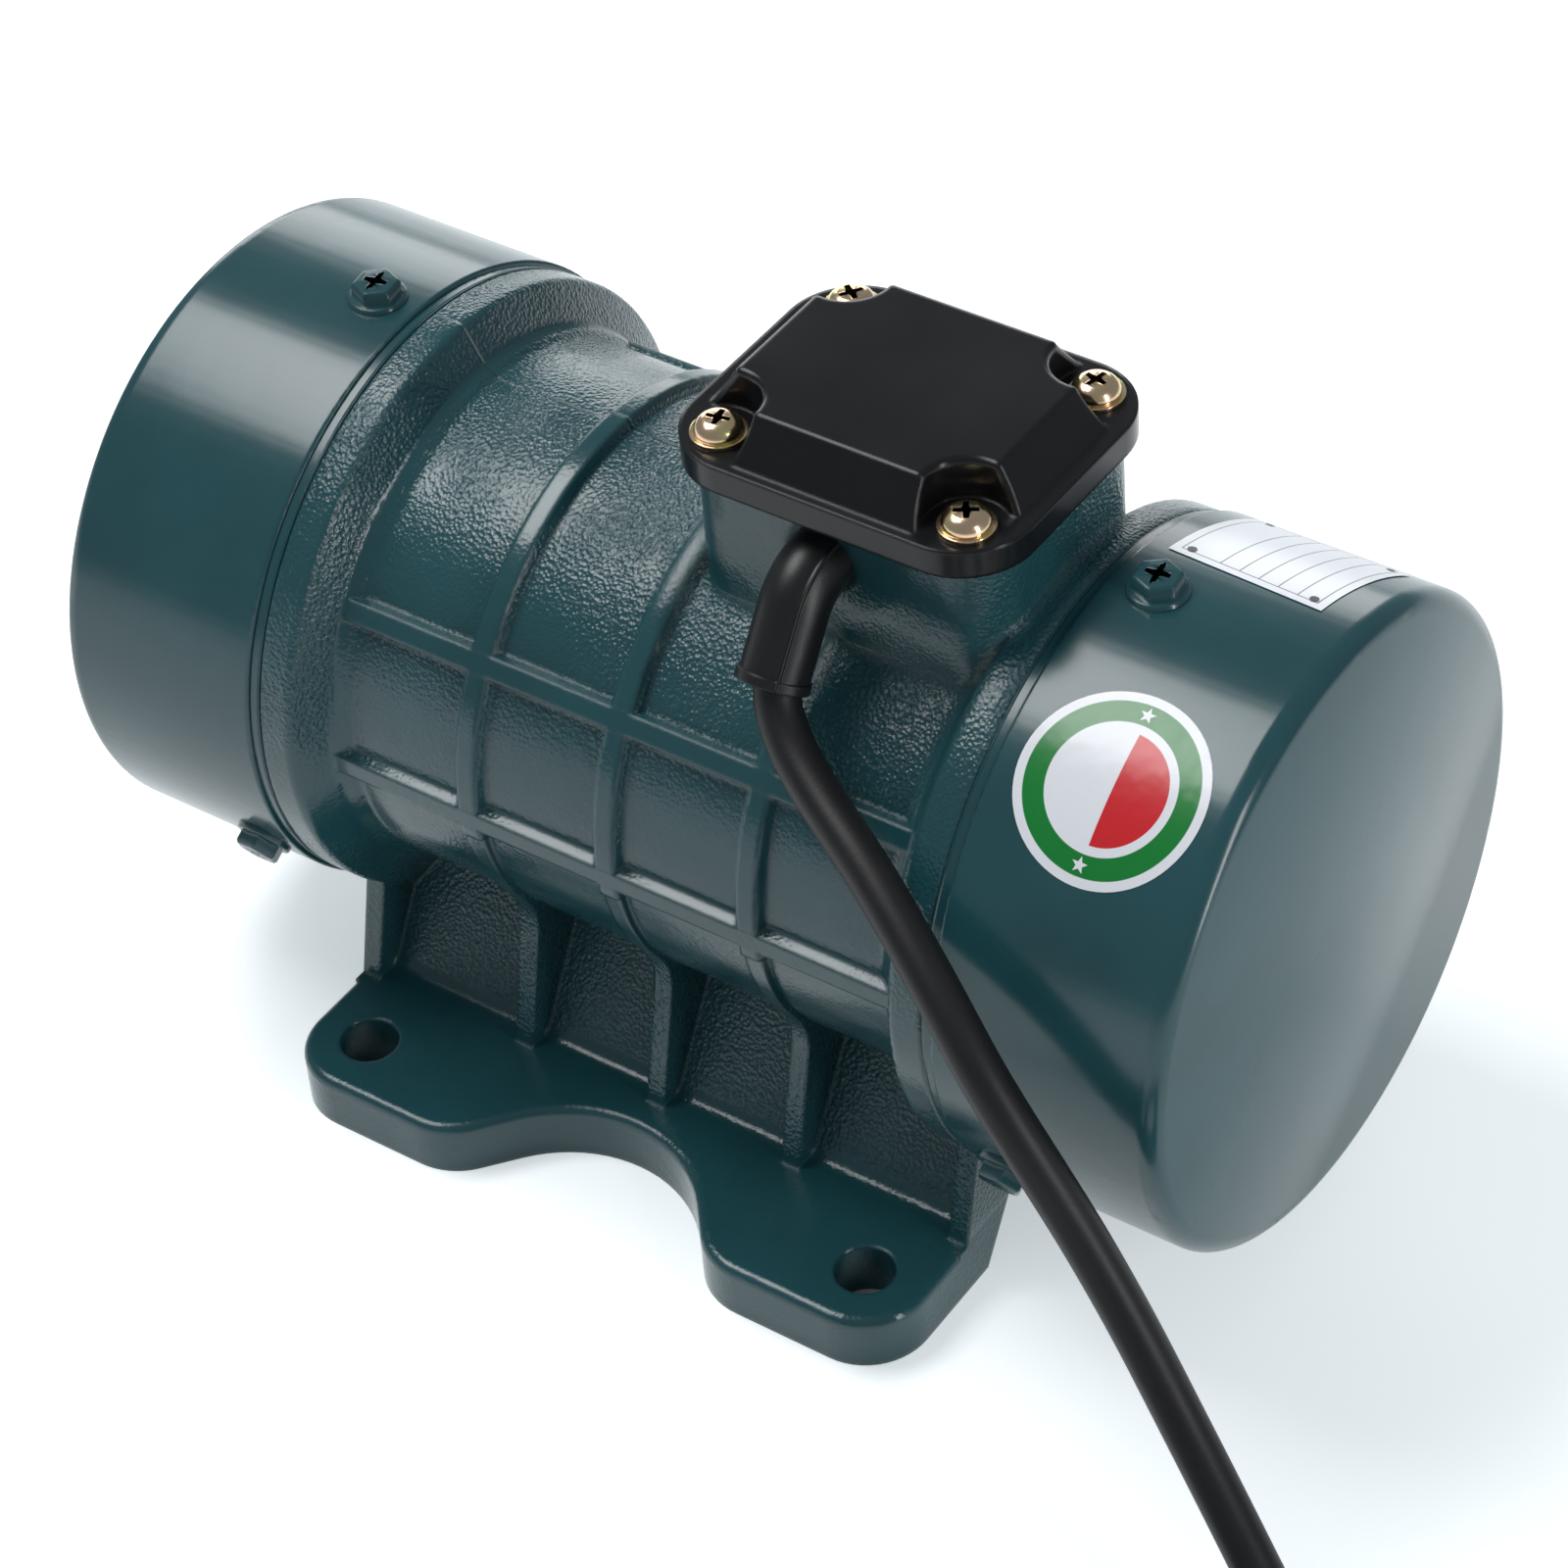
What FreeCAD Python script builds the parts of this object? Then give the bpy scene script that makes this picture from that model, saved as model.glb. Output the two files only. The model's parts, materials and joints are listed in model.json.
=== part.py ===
"""Foot-mounted vibration motor: a ribbed cast housing with unbalance weights on both shaft ends.

Frame: X along the shaft, Y across the feet, Z up. The origin lies on the standing surface,
midway between the four foot holes. Lengths are in millimetres.
"""
import FreeCAD, Part
import math
import os

import Sketcher

DIMENSIONS = {
    # overall heights and radii of the casting
    "axis_height": 67, "barrel_radius": 45, "stator_radius": 40, "rib_height": 2, "rib_width": 3.5,
    "rib_draft": 1, "rib_pitch": 27, "rib_half_angle": 97, "upper_bar_angle": 57,
    "lower_bar_angle": 92, "housing_half": 63.5, "flange_radius": 53.3, "flange_width": 6,
    "flange_slope": 3.5, "flange_neck": 6.3,
    "spigot_radius": 41.2, "spigot_depth": 3,
    # feet and webs
    "foot_thickness": 10, "hole_half_x": 50, "hole_half_y": 54, "hole_diameter": 10, "lug_radius": 11.2,
    "foot_edge": 1.5, "scallop_floor": 47, "scallop_radius": 23.6, "scallop_slope": 50, "scallop_shoulder": 12,
    "tunnel_half": 36, "web_lean": 32, "web_width": 7.65, "web_fillet": 4, "leg_reach": 4, "leg_width": 3.5,
    "end_wall_width": 3.7,
    # terminal box
    "box_centre": 30, "box_length": 56.8, "box_depth": 41.5, "box_corner": 8, "box_face": 67.4,
    "box_flange_length": 57.8, "box_flange_depth": 47.3, "box_flange_height": 2, "box_flange_corner": 10.5,
    "box_floor": 48, "box_wall": 3.9, "gasket_thickness": 1, "lead_hole": 8,
    "lid_length": 60.5, "lid_depth": 50, "lid_corner": 12, "lid_overlap": 2.2, "lid_skirt": 4.8,
    "lid_rise": 7.1, "lid_fit": 0.3, "lid_base_length": 55.4, "lid_base_depth": 46.4, "lid_crown_length": 46.4,
    "lid_crown_depth": 36.6, "lid_edge": 1, "lid_wall": 1.6, "scoop_radius": 6.9,
    "lid_screw_x": 22, "lid_screw_y": 17.8, "lid_screw_bore": 4.4, "lid_screw_size": 4,
    "lid_screw_length": 12, "pan_head": 7.8, "pan_height": 2.6, "lid_washer": 9, "washer_thickness": 0.8,
    # cable entry
    "sleeve_x": 27.5, "sleeve_height": 56, "sleeve_diameter": 11, "sleeve_mouth": 11.8, "cable_diameter": 7.4,
    "sleeve_fit": 0.35,
    # end shields and covers
    "shield_plate": 6.5, "shield_band": 1.9, "shield_rim_length": 12.6, "shield_rim_wall": 2.3, "shield_rim_fit": 0.2,
    "hub_radius": 25, "shield_screw_circle": 44.6, "shield_screw_size": 5, "shield_screw_bore": 5.6,
    "shield_screw_head": 8.5, "shield_screw_head_height": 5, "shield_screw_length": 16,
    "cover_radius": 54, "cover_wall": 1.5, "cover_end_room": 3, "cover_corner": 3, "cover_screw_offset": 7.9,
    "cover_screw_size": 4, "cover_screw_length": 5.5, "cover_flange": 8.3, "cover_flange_height": 1,
    "cover_head_width": 7, "cover_head_height": 3.2,
    # bearings, shaft and weights
    "bearing_inset": 4.5, "bearing_width": 12, "bearing_radius": 20, "journal_radius": 8.5, "ball_radius": 3.3,
    "ball_pitch": 14.25, "race_fit": 0.05, "outer_race_land": 16.6, "inner_race_land": 11.9, "ball_count": 8,
    "cage_inner": 13.2, "cage_outer": 15.3, "cage_width": 9, "ball_pocket_fit": 0.15, "circlip_thickness": 1.2,
    "circlip_depth": 1, "core_seat_radius": 11, "core_length": 50, "rotor_radius": 22.5, "air_gap": 0.3,
    "end_ring_width": 6, "end_ring_radius": 21.5, "slot_count": 24, "slot_depth": 11, "slot_width": 3.4,
    "slot_lip": 1.2, "slot_mouth": 1.6, "winding_fit": 0.2, "winding_overhang": 14, "winding_inner": 25,
    "winding_outer": 37.5, "weight_seat_radius": 7.5, "weight_clearance": 2.3, "weight_thickness": 8,
    "weight_gap": 0.3, "weight_radius": 44, "weight_hub_radius": 14, "weight_chord": 3,
    "clamp_slot": 2, "clamp_lug": 21, "clamp_bolt": 5, "clamp_lug_half": 7, "shaft_clip_gap": 0.3,
    "shaft_tail": 3.2, "key_width": 5, "key_length": 7, "key_inset": 2.5, "key_rise": 2, "running_fit": 0.03,
    # inside the terminal box
    "terminal_length": 22, "terminal_depth": 12, "terminal_height": 9, "capacitor_radius": 5,
    "capacitor_length": 26, "core_wire": 2.2,
    # free cable: coil and plug
    "coil_radius": 38.3, "coil_layers": 2, "plug_relief": 22, "plug_length": 36, "plug_width": 34,
    "plug_thickness": 24, "pin_radius": 2.4, "pin_length": 19, "pin_pitch": 19, "earth_strip_length": 11.5,
    "earth_strip_width": 4, "earth_strip_rise": 1, "earth_strip_inset": 2.5,
}

document = FreeCAD.newDocument("vibration_motor")
sheet = document.addObject("Spreadsheet::Sheet", "Dims")
for row, (alias, number) in enumerate(DIMENSIONS.items(), 1):
    sheet.set(f"A{row}", alias)
    sheet.set(f"B{row}", str(number))
    sheet.setAlias(f"B{row}", alias)
document.recompute()


class Size:
    """A length or angle that carries its number and the sheet formula that gives it."""

    def __init__(self, value, formula):
        self.value = float(value)
        self.formula = formula

    def __add__(self, other):
        other = as_size(other)
        return Size(self.value + other.value, f"({self.formula} + {other.formula})")

    def __sub__(self, other):
        other = as_size(other)
        return Size(self.value - other.value, f"({self.formula} - {other.formula})")

    def __mul__(self, other):
        other = as_size(other)
        return Size(self.value * other.value, f"({self.formula} * {other.formula})")

    def __truediv__(self, other):
        other = as_size(other)
        return Size(self.value / other.value, f"({self.formula} / {other.formula})")

    def __neg__(self):
        return Size(-self.value, f"(0 - {self.formula})")

    def __radd__(self, other):
        return as_size(other) + self

    def __rsub__(self, other):
        return as_size(other) - self

    def __rmul__(self, other):
        return as_size(other) * self

    def __rtruediv__(self, other):
        return as_size(other) / self


def as_size(item):
    """Make a plain number usable beside sheet sizes."""
    return item if isinstance(item, Size) else Size(item, f"({float(item)!r})")


def dim(alias):
    """One named size of the sheet."""
    return Size(sheet.get(alias), f"Dims.{alias}")


def sine(angle):
    angle = as_size(angle)
    return Size(math.sin(math.radians(angle.value)), f"sin({angle.formula})")


def cosine(angle):
    angle = as_size(angle)
    return Size(math.cos(math.radians(angle.value)), f"cos({angle.formula})")


def tangent(angle):
    return sine(angle) / cosine(angle)


def around(radius, angle):
    """A point at a radius and an angle from the top, turning towards +Y."""
    return as_size(radius) * sine(angle), as_size(radius) * cosine(angle)


# ---- drawing tools -------------------------------------------------------------------------

def new_body(label, turn=0, x=0, y=0, z=0):
    """Start a sub-part; turn rotates it about Z, and x, y, z set it in place."""
    body = document.addObject("PartDesign::Body", label)
    body.Label = label
    body.AllowCompound = True
    body.Placement = FreeCAD.Placement(FreeCAD.Vector(), FreeCAD.Rotation(FreeCAD.Vector(0, 0, 1), turn))
    for direction, size in (("x", x), ("y", y), ("z", z)):
        body.setExpression(f"Placement.Base.{direction}", as_size(size).formula)
    return body


def new_sketch(body, role, name, offset=0):
    """A sketch on one of the body's own origin planes, moved along the plane's normal."""
    sketch = body.newObject("Sketcher::SketchObject", f"{body.Name}_{name}")
    plane = next(item for item in body.Origin.OriginFeatures if item.Role == role)
    sketch.AttachmentSupport = [(plane, "")]
    sketch.MapMode = "FlatFace"
    sketch.setExpression("AttachmentOffset.Base.z", as_size(offset).formula)
    return sketch


def fix_point(sketch, shape, spot, x, y):
    """Place one point of a sketch by its two distances from the sketch's origin."""
    for kind, size in (("DistanceX", as_size(x)), ("DistanceY", as_size(y))):
        index = sketch.addConstraint(Sketcher.Constraint(kind, -1, 1, shape, spot, size.value))
        sketch.setExpression(f"Constraints[{index}]", size.formula)


def fix_radius(sketch, shape, radius):
    index = sketch.addConstraint(Sketcher.Constraint("Radius", shape, as_size(radius).value))
    sketch.setExpression(f"Constraints[{index}]", as_size(radius).formula)


def draw_circle(sketch, x, y, radius):
    centre = FreeCAD.Vector(as_size(x).value, as_size(y).value, 0)
    circle = Part.Circle(centre, FreeCAD.Vector(0, 0, 1), as_size(radius).value)
    shape = sketch.addGeometry(circle, False)
    fix_point(sketch, shape, 3, x, y)
    fix_radius(sketch, shape, radius)


def draw_loop(sketch, corners):
    """Join corners (x, y) by straight edges; a corner (x, y, radius) is rounded."""
    points = [FreeCAD.Vector(as_size(c[0]).value, as_size(c[1]).value, 0) for c in corners]
    count = len(points)
    bends = []
    for number, corner in enumerate(corners):
        here = points[number]
        if len(corner) == 2:
            bends.append((here, here, None, True))
            continue
        arriving = (here - points[number - 1]).normalize()
        leaving = (points[(number + 1) % count] - here).normalize()
        radius = as_size(corner[2]).value
        reach = radius * math.tan(arriving.getAngle(leaving) / 2)
        left = arriving.x * leaving.y - arriving.y * leaving.x > 0
        inward = FreeCAD.Vector(-arriving.y, arriving.x, 0) * (1 if left else -1)
        bends.append((here - arriving * reach, here + leaving * reach, inward * radius, left))
    edges = [sketch.addGeometry(Part.LineSegment(bends[number][1], bends[(number + 1) % count][0]), False)
             for number in range(count)]
    for number, corner in enumerate(corners):
        enter, leave, inward, left = bends[number]
        before, after = edges[number - 1], edges[number]
        if inward is None:
            sketch.addConstraint(Sketcher.Constraint("Coincident", before, 2, after, 1))
            fix_point(sketch, after, 1, corner[0], corner[1])
            continue
        centre = enter + inward
        angles = [math.atan2(spot.y - centre.y, spot.x - centre.x) for spot in (enter, leave)]
        if not left:
            angles.reverse()
        circle = Part.Circle(centre, FreeCAD.Vector(0, 0, 1), inward.Length)
        arc = sketch.addGeometry(Part.ArcOfCircle(circle, angles[0], angles[1]), False)
        entry, departure = (1, 2) if left else (2, 1)
        sketch.addConstraint(Sketcher.Constraint("Tangent", before, 2, arc, entry))
        sketch.addConstraint(Sketcher.Constraint("Tangent", after, 1, arc, departure))
        apex = sketch.addGeometry(Part.Point(points[number]), True)
        sketch.addConstraint(Sketcher.Constraint("PointOnObject", apex, 1, before))
        sketch.addConstraint(Sketcher.Constraint("PointOnObject", apex, 1, after))
        fix_point(sketch, apex, 1, corner[0], corner[1])
        fix_radius(sketch, arc, corner[2])


def draw_rectangle(sketch, length, depth, corner=None, x=0, y=0):
    """A rectangle about a centre, its corners rounded where a radius is given."""
    ends = ((-0.5, -0.5), (0.5, -0.5), (0.5, 0.5), (-0.5, 0.5))
    rounding = () if corner is None else (corner,)
    draw_loop(sketch, [(x + along * as_size(length), y + across * as_size(depth)) + rounding
                       for along, across in ends])


def extrude(body, sketch, length, cut=False, both=False, reverse=False):
    """Pad or pocket a sketch along its normal."""
    kind = "PartDesign::Pocket" if cut else "PartDesign::Pad"
    feature = body.newObject(kind, f"{sketch.Name}_{'cut' if cut else 'pad'}")
    feature.Profile = sketch
    feature.setExpression("Length", as_size(length).formula)
    feature.SideType = "Symmetric" if both else "One side"
    feature.Reversed = reverse
    body.Tip = feature
    return feature


def spin(body, sketch, cut=False, half_angle=None, axis="H_Axis"):
    """Turn a sketch about one of its axes, all round or by an angle to each side."""
    kind = "PartDesign::Groove" if cut else "PartDesign::Revolution"
    feature = body.newObject(kind, f"{sketch.Name}_{'groove' if cut else 'turned'}")
    feature.Profile = sketch
    feature.ReferenceAxis = (sketch, [axis])
    feature.Angle = 360
    if half_angle is not None:
        feature.Midplane = True
        feature.setExpression("Angle", (2 * half_angle).formula)
    body.Tip = feature
    return feature


def repeat_grid(body, features, sketch, length, depth, count=2, rows=2):
    """Repeat features on a grid along a sketch's two axes."""
    pattern = body.newObject("PartDesign::LinearPattern", f"{features[0].Name}_grid")
    pattern.Originals = features
    pattern.Direction = (sketch, ["H_Axis"])
    pattern.setExpression("Length", as_size(length).formula)
    pattern.Occurrences = count
    if rows > 1:
        pattern.Direction2 = (sketch, ["V_Axis"])
        pattern.setExpression("Length2", as_size(depth).formula)
        pattern.Occurrences2 = rows
    body.Tip = pattern
    return pattern


def round_edges(body, radius, wanted):
    """Fillet the body's edges that pass a test; the radius is one of the sheet's sizes."""
    document.recompute()
    base = body.Tip
    names = [f"Edge{number}" for number, edge in enumerate(base.Shape.Edges, 1) if wanted(edge)]
    feature = body.newObject("PartDesign::Fillet", f"{base.Name}_rounded")
    feature.Base = (base, names)
    feature.setExpression("Radius", as_size(radius).formula)
    body.Tip = feature
    return feature


def origin_axis(body, role):
    return next(item for item in body.Origin.OriginFeatures if item.Role == role)


def ring_about_shaft(body, feature, count):
    """Repeat one feature evenly round the shaft's axis."""
    pattern = body.newObject("PartDesign::PolarPattern", f"{feature.Name}_round")
    pattern.Originals = [feature]
    pattern.Axis = (origin_axis(body, "X_Axis"), [""])
    pattern.Angle = 360
    pattern.setExpression("Occurrences", as_size(count).formula)
    body.Tip = pattern
    return pattern


def copy_whole(body, pattern):
    """Let a pattern repeat the whole body so far, as separate solids."""
    pattern.TransformMode = "Whole shape"
    body.Tip = pattern


def mirror_whole(body):
    """Add the other end's twin, mirrored across the middle of the shaft."""
    mirror = body.newObject("PartDesign::Mirrored", f"{body.Name}_twin")
    mirror.MirrorPlane = (origin_axis(body, "YZ_Plane"), [""])
    copy_whole(body, mirror)


SIDES = {"right": 0, "left": 180}
HEIGHT = dim("axis_height")
FIT = dim("running_fit")


# ---- cast housing --------------------------------------------------------------------------

def foot_level(z):
    """Height above the feet's undersides, seen from the shaft's axis."""
    return as_size(z) - HEIGHT


def web_inner(z):
    """Distance of a web's inner face from the middle plane at a height."""
    return dim("tunnel_half") - (z + HEIGHT) * tangent(dim("web_lean"))


def add_feet(body):
    """Two scalloped feet with four lugs, each lug round about its hole."""
    slope = dim("scallop_slope")
    reach = dim("hole_half_y") + dim("lug_radius")
    end = dim("hole_half_x") + dim("lug_radius")
    apex = dim("scallop_floor") + dim("scallop_radius") - dim("scallop_radius") / cosine(slope)
    mouth = (reach - apex) / tangent(slope)
    inner = dim("tunnel_half") + dim("web_width") / 2
    plan = new_sketch(body, "XY_Plane", "feet", foot_level(0))
    for side in (-1, 1):
        draw_loop(plan, [
            (-end, side * inner),
            (-end, side * reach, dim("lug_radius")),
            (-mouth, side * reach, dim("scallop_shoulder")),
            (as_size(0), side * apex, dim("scallop_radius")),
            (mouth, side * reach, dim("scallop_shoulder")),
            (end, side * reach, dim("lug_radius")),
            (end, side * inner),
        ])
    extrude(body, plan, dim("foot_thickness"))
    top = foot_level(dim("foot_thickness")).value
    straight = inner.value

    def is_upper_rim(edge):
        box = edge.BoundBox
        level = abs(box.ZMin - top) < 0.01 and abs(box.ZMax - top) < 0.01
        return level and max(abs(box.YMin), abs(box.YMax)) > straight + 0.01

    round_edges(body, dim("foot_edge"), is_upper_rim)


def add_webs(body):
    """Two leaning walls from the feet up to the barrel, with a fillet onto the feet."""
    crown = -0.75 * dim("barrel_radius")
    foot_top = foot_level(dim("foot_thickness"))
    section = new_sketch(body, "YZ_Plane", "webs")
    for side in (-1, 1):
        draw_loop(section, [
            (side * web_inner(crown), crown),
            (side * dim("tunnel_half"), foot_level(0)),
            (side * (dim("tunnel_half") + dim("web_width")), foot_level(0)),
            (side * (dim("tunnel_half") + dim("web_width")), foot_top),
            (side * (web_inner(foot_top) + dim("web_width")), foot_top, dim("web_fillet")),
            (side * (web_inner(crown) + dim("web_width")), crown),
        ])
    extrude(body, section, 2 * (dim("hole_half_x") + dim("lug_radius")), both=True)


def add_legs(body):
    """Thin upright plates that carry each hoop rib down to the feet."""
    radius = dim("barrel_radius")
    crown = -0.75 * radius
    foot_top = foot_level(dim("foot_thickness"))
    outer = web_inner(foot_top) + dim("web_width")
    crest = radius + 0.4 * dim("rib_height")
    shoulder = around(crest / cosine(13), 109)
    waist = around(radius + 0.7 * dim("rib_height"), 131)
    section = new_sketch(body, "YZ_Plane", "legs", -dim("rib_pitch"))
    for side in (-1, 1):
        draw_loop(section, [
            (side * (radius - 3), as_size(-3)),
            (side * (crest + 0.5), as_size(-3)),
            (side * shoulder[0], shoulder[1], crest),
            (side * waist[0], waist[1], 12),
            (side * (outer + dim("leg_reach")), foot_top),
            (side * (outer + dim("leg_reach")), foot_top - 1),
            (side * (outer - 2), foot_top - 1),
            (side * (web_inner(crown) + dim("web_width") - 2), crown),
        ])
    leg = extrude(body, section, dim("leg_width"), both=True)
    pattern = body.newObject("PartDesign::LinearPattern", "housing_legs_row")
    pattern.Originals = [leg]
    pattern.Direction = (section, ["N_Axis"])
    pattern.setExpression("Length", (2 * dim("rib_pitch")).formula)
    pattern.Occurrences = 3
    body.Tip = pattern


def add_end_walls(body):
    """A wall across each end of the webs, under the flange and flush with the feet."""
    crown = -0.75 * dim("barrel_radius")
    foot_top = foot_level(dim("foot_thickness"))
    outer = web_inner(foot_top) + dim("web_width") + dim("leg_reach")
    end = dim("hole_half_x") + dim("lug_radius")
    head = around(dim("flange_radius") - 0.5, 136)
    wall_middle = end - dim("end_wall_width") / 2
    for name, middle in (("right", wall_middle), ("left", -wall_middle)):
        section = new_sketch(body, "YZ_Plane", f"end_walls_{name}", middle)
        for side in (-1, 1):
            draw_loop(section, [
                (side * web_inner(crown), crown),
                (side * dim("tunnel_half"), foot_level(0)),
                (side * (dim("tunnel_half") + dim("web_width")), foot_level(0)),
                (side * (dim("tunnel_half") + dim("web_width")), foot_top),
                (side * outer, foot_top),
                (side * head[0], head[1]),
                (side * (head[0] - 8), crown),
            ])
        extrude(body, section, dim("end_wall_width"), both=True)


def add_barrel(body):
    """Barrel and end flanges, turned as one profile."""
    half = dim("housing_half")
    back = half - dim("flange_width")
    radius = dim("barrel_radius")
    flange = dim("flange_radius")
    deep = dim("stator_radius") - 2
    neck = radius + dim("rib_height")
    profile = new_sketch(body, "XZ_Plane", "barrel")
    draw_loop(profile, [
        (half, deep),
        (half, flange, 0.6),
        (back, flange, 1.5),
        (back - dim("flange_slope"), neck, 3),
        (back - dim("flange_neck"), radius, 2),
        (dim("flange_neck") - back, radius, 2),
        (dim("flange_slope") - back, neck, 3),
        (-back, flange, 1.5),
        (-half, flange, 0.6),
        (-half, deep),
    ])
    spin(body, profile)


def add_hoop_ribs(body):
    """Three hoops over the top of the barrel, with casting draft on their flanks."""
    radius = dim("barrel_radius")
    crest = radius + dim("rib_height")
    narrow = dim("rib_width") / 2
    wide = narrow + dim("rib_draft")
    middle = -dim("rib_pitch")
    profile = new_sketch(body, "XZ_Plane", "hoop")
    draw_loop(profile, [
        (middle - wide, radius - 1),
        (middle - wide, radius),
        (middle - narrow, crest, 0.7),
        (middle + narrow, crest, 0.7),
        (middle + wide, radius),
        (middle + wide, radius - 1),
    ])
    hoop = spin(body, profile, half_angle=dim("rib_half_angle"))
    pattern = body.newObject("PartDesign::LinearPattern", "housing_hoop_row")
    pattern.Originals = [hoop]
    pattern.Direction = (profile, ["H_Axis"])
    pattern.setExpression("Length", (2 * dim("rib_pitch")).formula)
    pattern.Occurrences = 3
    body.Tip = pattern


def add_long_ribs(body):
    """Two ribs along each flank of the barrel, from flange to flange."""
    radius = dim("barrel_radius")
    section = new_sketch(body, "YZ_Plane", "long_ribs")
    levels = ((radius - 1, dim("rib_width") / 2 + dim("rib_draft")),
              (radius + dim("rib_height"), dim("rib_width") / 2))
    for angle in (dim("upper_bar_angle"), dim("lower_bar_angle")):
        for side in (-1, 1):
            corners = []
            for (reach, half), flank in zip((levels[0], levels[1], levels[1], levels[0]), (-1, -1, 1, 1)):
                across = reach * sine(angle) + flank * half * cosine(angle)
                up = reach * cosine(angle) - flank * half * sine(angle)
                corners.append((side * across, up))
            draw_loop(section, corners)
    extrude(body, section, 2 * (dim("housing_half") - dim("flange_width") - 1), both=True)


def add_terminal_box(body):
    """The cast box on the barrel, its rim under the lid, its room, pillars and holes."""
    middle = dim("box_centre")
    root = new_sketch(body, "XY_Plane", "box", dim("stator_radius") * 0.9)
    draw_rectangle(root, dim("box_length"), dim("box_depth"), dim("box_corner"), x=middle)
    extrude(body, root, dim("box_face") - dim("stator_radius") * 0.9)
    rim = new_sketch(body, "XY_Plane", "box_rim", dim("box_face") - dim("box_flange_height"))
    draw_rectangle(rim, dim("box_flange_length"), dim("box_flange_depth"), dim("box_flange_corner"), x=middle)
    extrude(body, rim, dim("box_flange_height"))
    room = new_sketch(body, "XY_Plane", "box_room", dim("box_face"))
    wall = 2 * dim("box_wall")
    draw_rectangle(room, dim("box_length") - wall, dim("box_depth") - wall, 4, x=middle)
    extrude(body, room, dim("box_face") - dim("box_floor"), cut=True)
    pillars = new_sketch(body, "XY_Plane", "box_pillars", dim("box_floor") - 1)
    bores = new_sketch(body, "XY_Plane", "box_bores", dim("box_face"))
    for x, y in lid_screw_places():
        draw_circle(pillars, x, y, dim("box_depth") / 2 - dim("lid_screw_y"))
        draw_circle(bores, x, y, dim("lid_screw_size") / 2 + FIT)
    extrude(body, pillars, dim("box_face") - dim("box_floor") + 1)
    extrude(body, bores, dim("lid_screw_length") - 1, cut=True)
    entry = new_sketch(body, "XZ_Plane", "cable_entry", dim("box_depth") / 2 + 1)
    draw_circle(entry, dim("sleeve_x"), dim("sleeve_height"), dim("sleeve_diameter") / 2 + FIT)
    extrude(body, entry, dim("box_wall") + 2, cut=True)
    leads = new_sketch(body, "XY_Plane", "lead_hole", dim("box_floor"))
    draw_circle(leads, middle - dim("box_length") / 4, 9, dim("lead_hole") / 2)
    draw_circle(leads, middle - dim("box_length") / 4, -8, EARTH_SIZE / 2 + FIT)
    extrude(body, leads, dim("box_floor") - dim("stator_radius") + 2, cut=True)


def lid_screw_places():
    """Plan places of the four lid screws."""
    middle = dim("box_centre")
    return [(middle + along * dim("lid_screw_x"), across * dim("lid_screw_y"))
            for along in (-1, 1) for across in (-1, 1)]


EARTH_SIZE = as_size(4)


def make_housing():
    body = new_body("housing", z=HEIGHT)
    add_feet(body)
    add_webs(body)
    add_end_walls(body)
    add_barrel(body)
    add_hoop_ribs(body)
    add_long_ribs(body)
    add_legs(body)
    add_terminal_box(body)
    half = dim("housing_half")
    shelf = half - dim("spigot_depth")
    bore = new_sketch(body, "XZ_Plane", "bore")
    draw_loop(bore, [
        (-half - 1, as_size(0)), (half + 1, as_size(0)),
        (half + 1, dim("spigot_radius")), (shelf, dim("spigot_radius")),
        (shelf, dim("stator_radius")), (-shelf, dim("stator_radius")),
        (-shelf, dim("spigot_radius")), (-half - 1, dim("spigot_radius")),
    ])
    spin(body, bore, cut=True)
    holes = new_sketch(body, "XY_Plane", "foot_holes", foot_level(dim("foot_thickness") + 1))
    for x in (-dim("hole_half_x"), dim("hole_half_x")):
        for y in (-dim("hole_half_y"), dim("hole_half_y")):
            draw_circle(holes, x, y, dim("hole_diameter") / 2)
    extrude(body, holes, dim("foot_thickness") + 2, cut=True)
    for name, face, reverse in (("right", half, False), ("left", -half, True)):
        taps = new_sketch(body, "YZ_Plane", f"taps_{name}", face)
        place = around(dim("shield_screw_circle"), 45)
        draw_circle(taps, place[0], place[1], dim("shield_screw_size") / 2 + FIT)
        tap = extrude(body, taps, dim("flange_width"), cut=True, reverse=reverse)
        ring_about_shaft(body, tap, 4)
    return body



# ---- end shields, covers and their screws --------------------------------------------------

def bearing_middle():
    return dim("housing_half") + dim("bearing_inset")


def bearing_end(side):
    """X of a bearing's inner (-1) or outer (+1) face."""
    return bearing_middle() + side * dim("bearing_width") / 2


def hub_end():
    """X of the outer face of the shield's hub, past the circlip that holds the bearing."""
    return bearing_end(1) + dim("circlip_thickness") + 1.5


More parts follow.
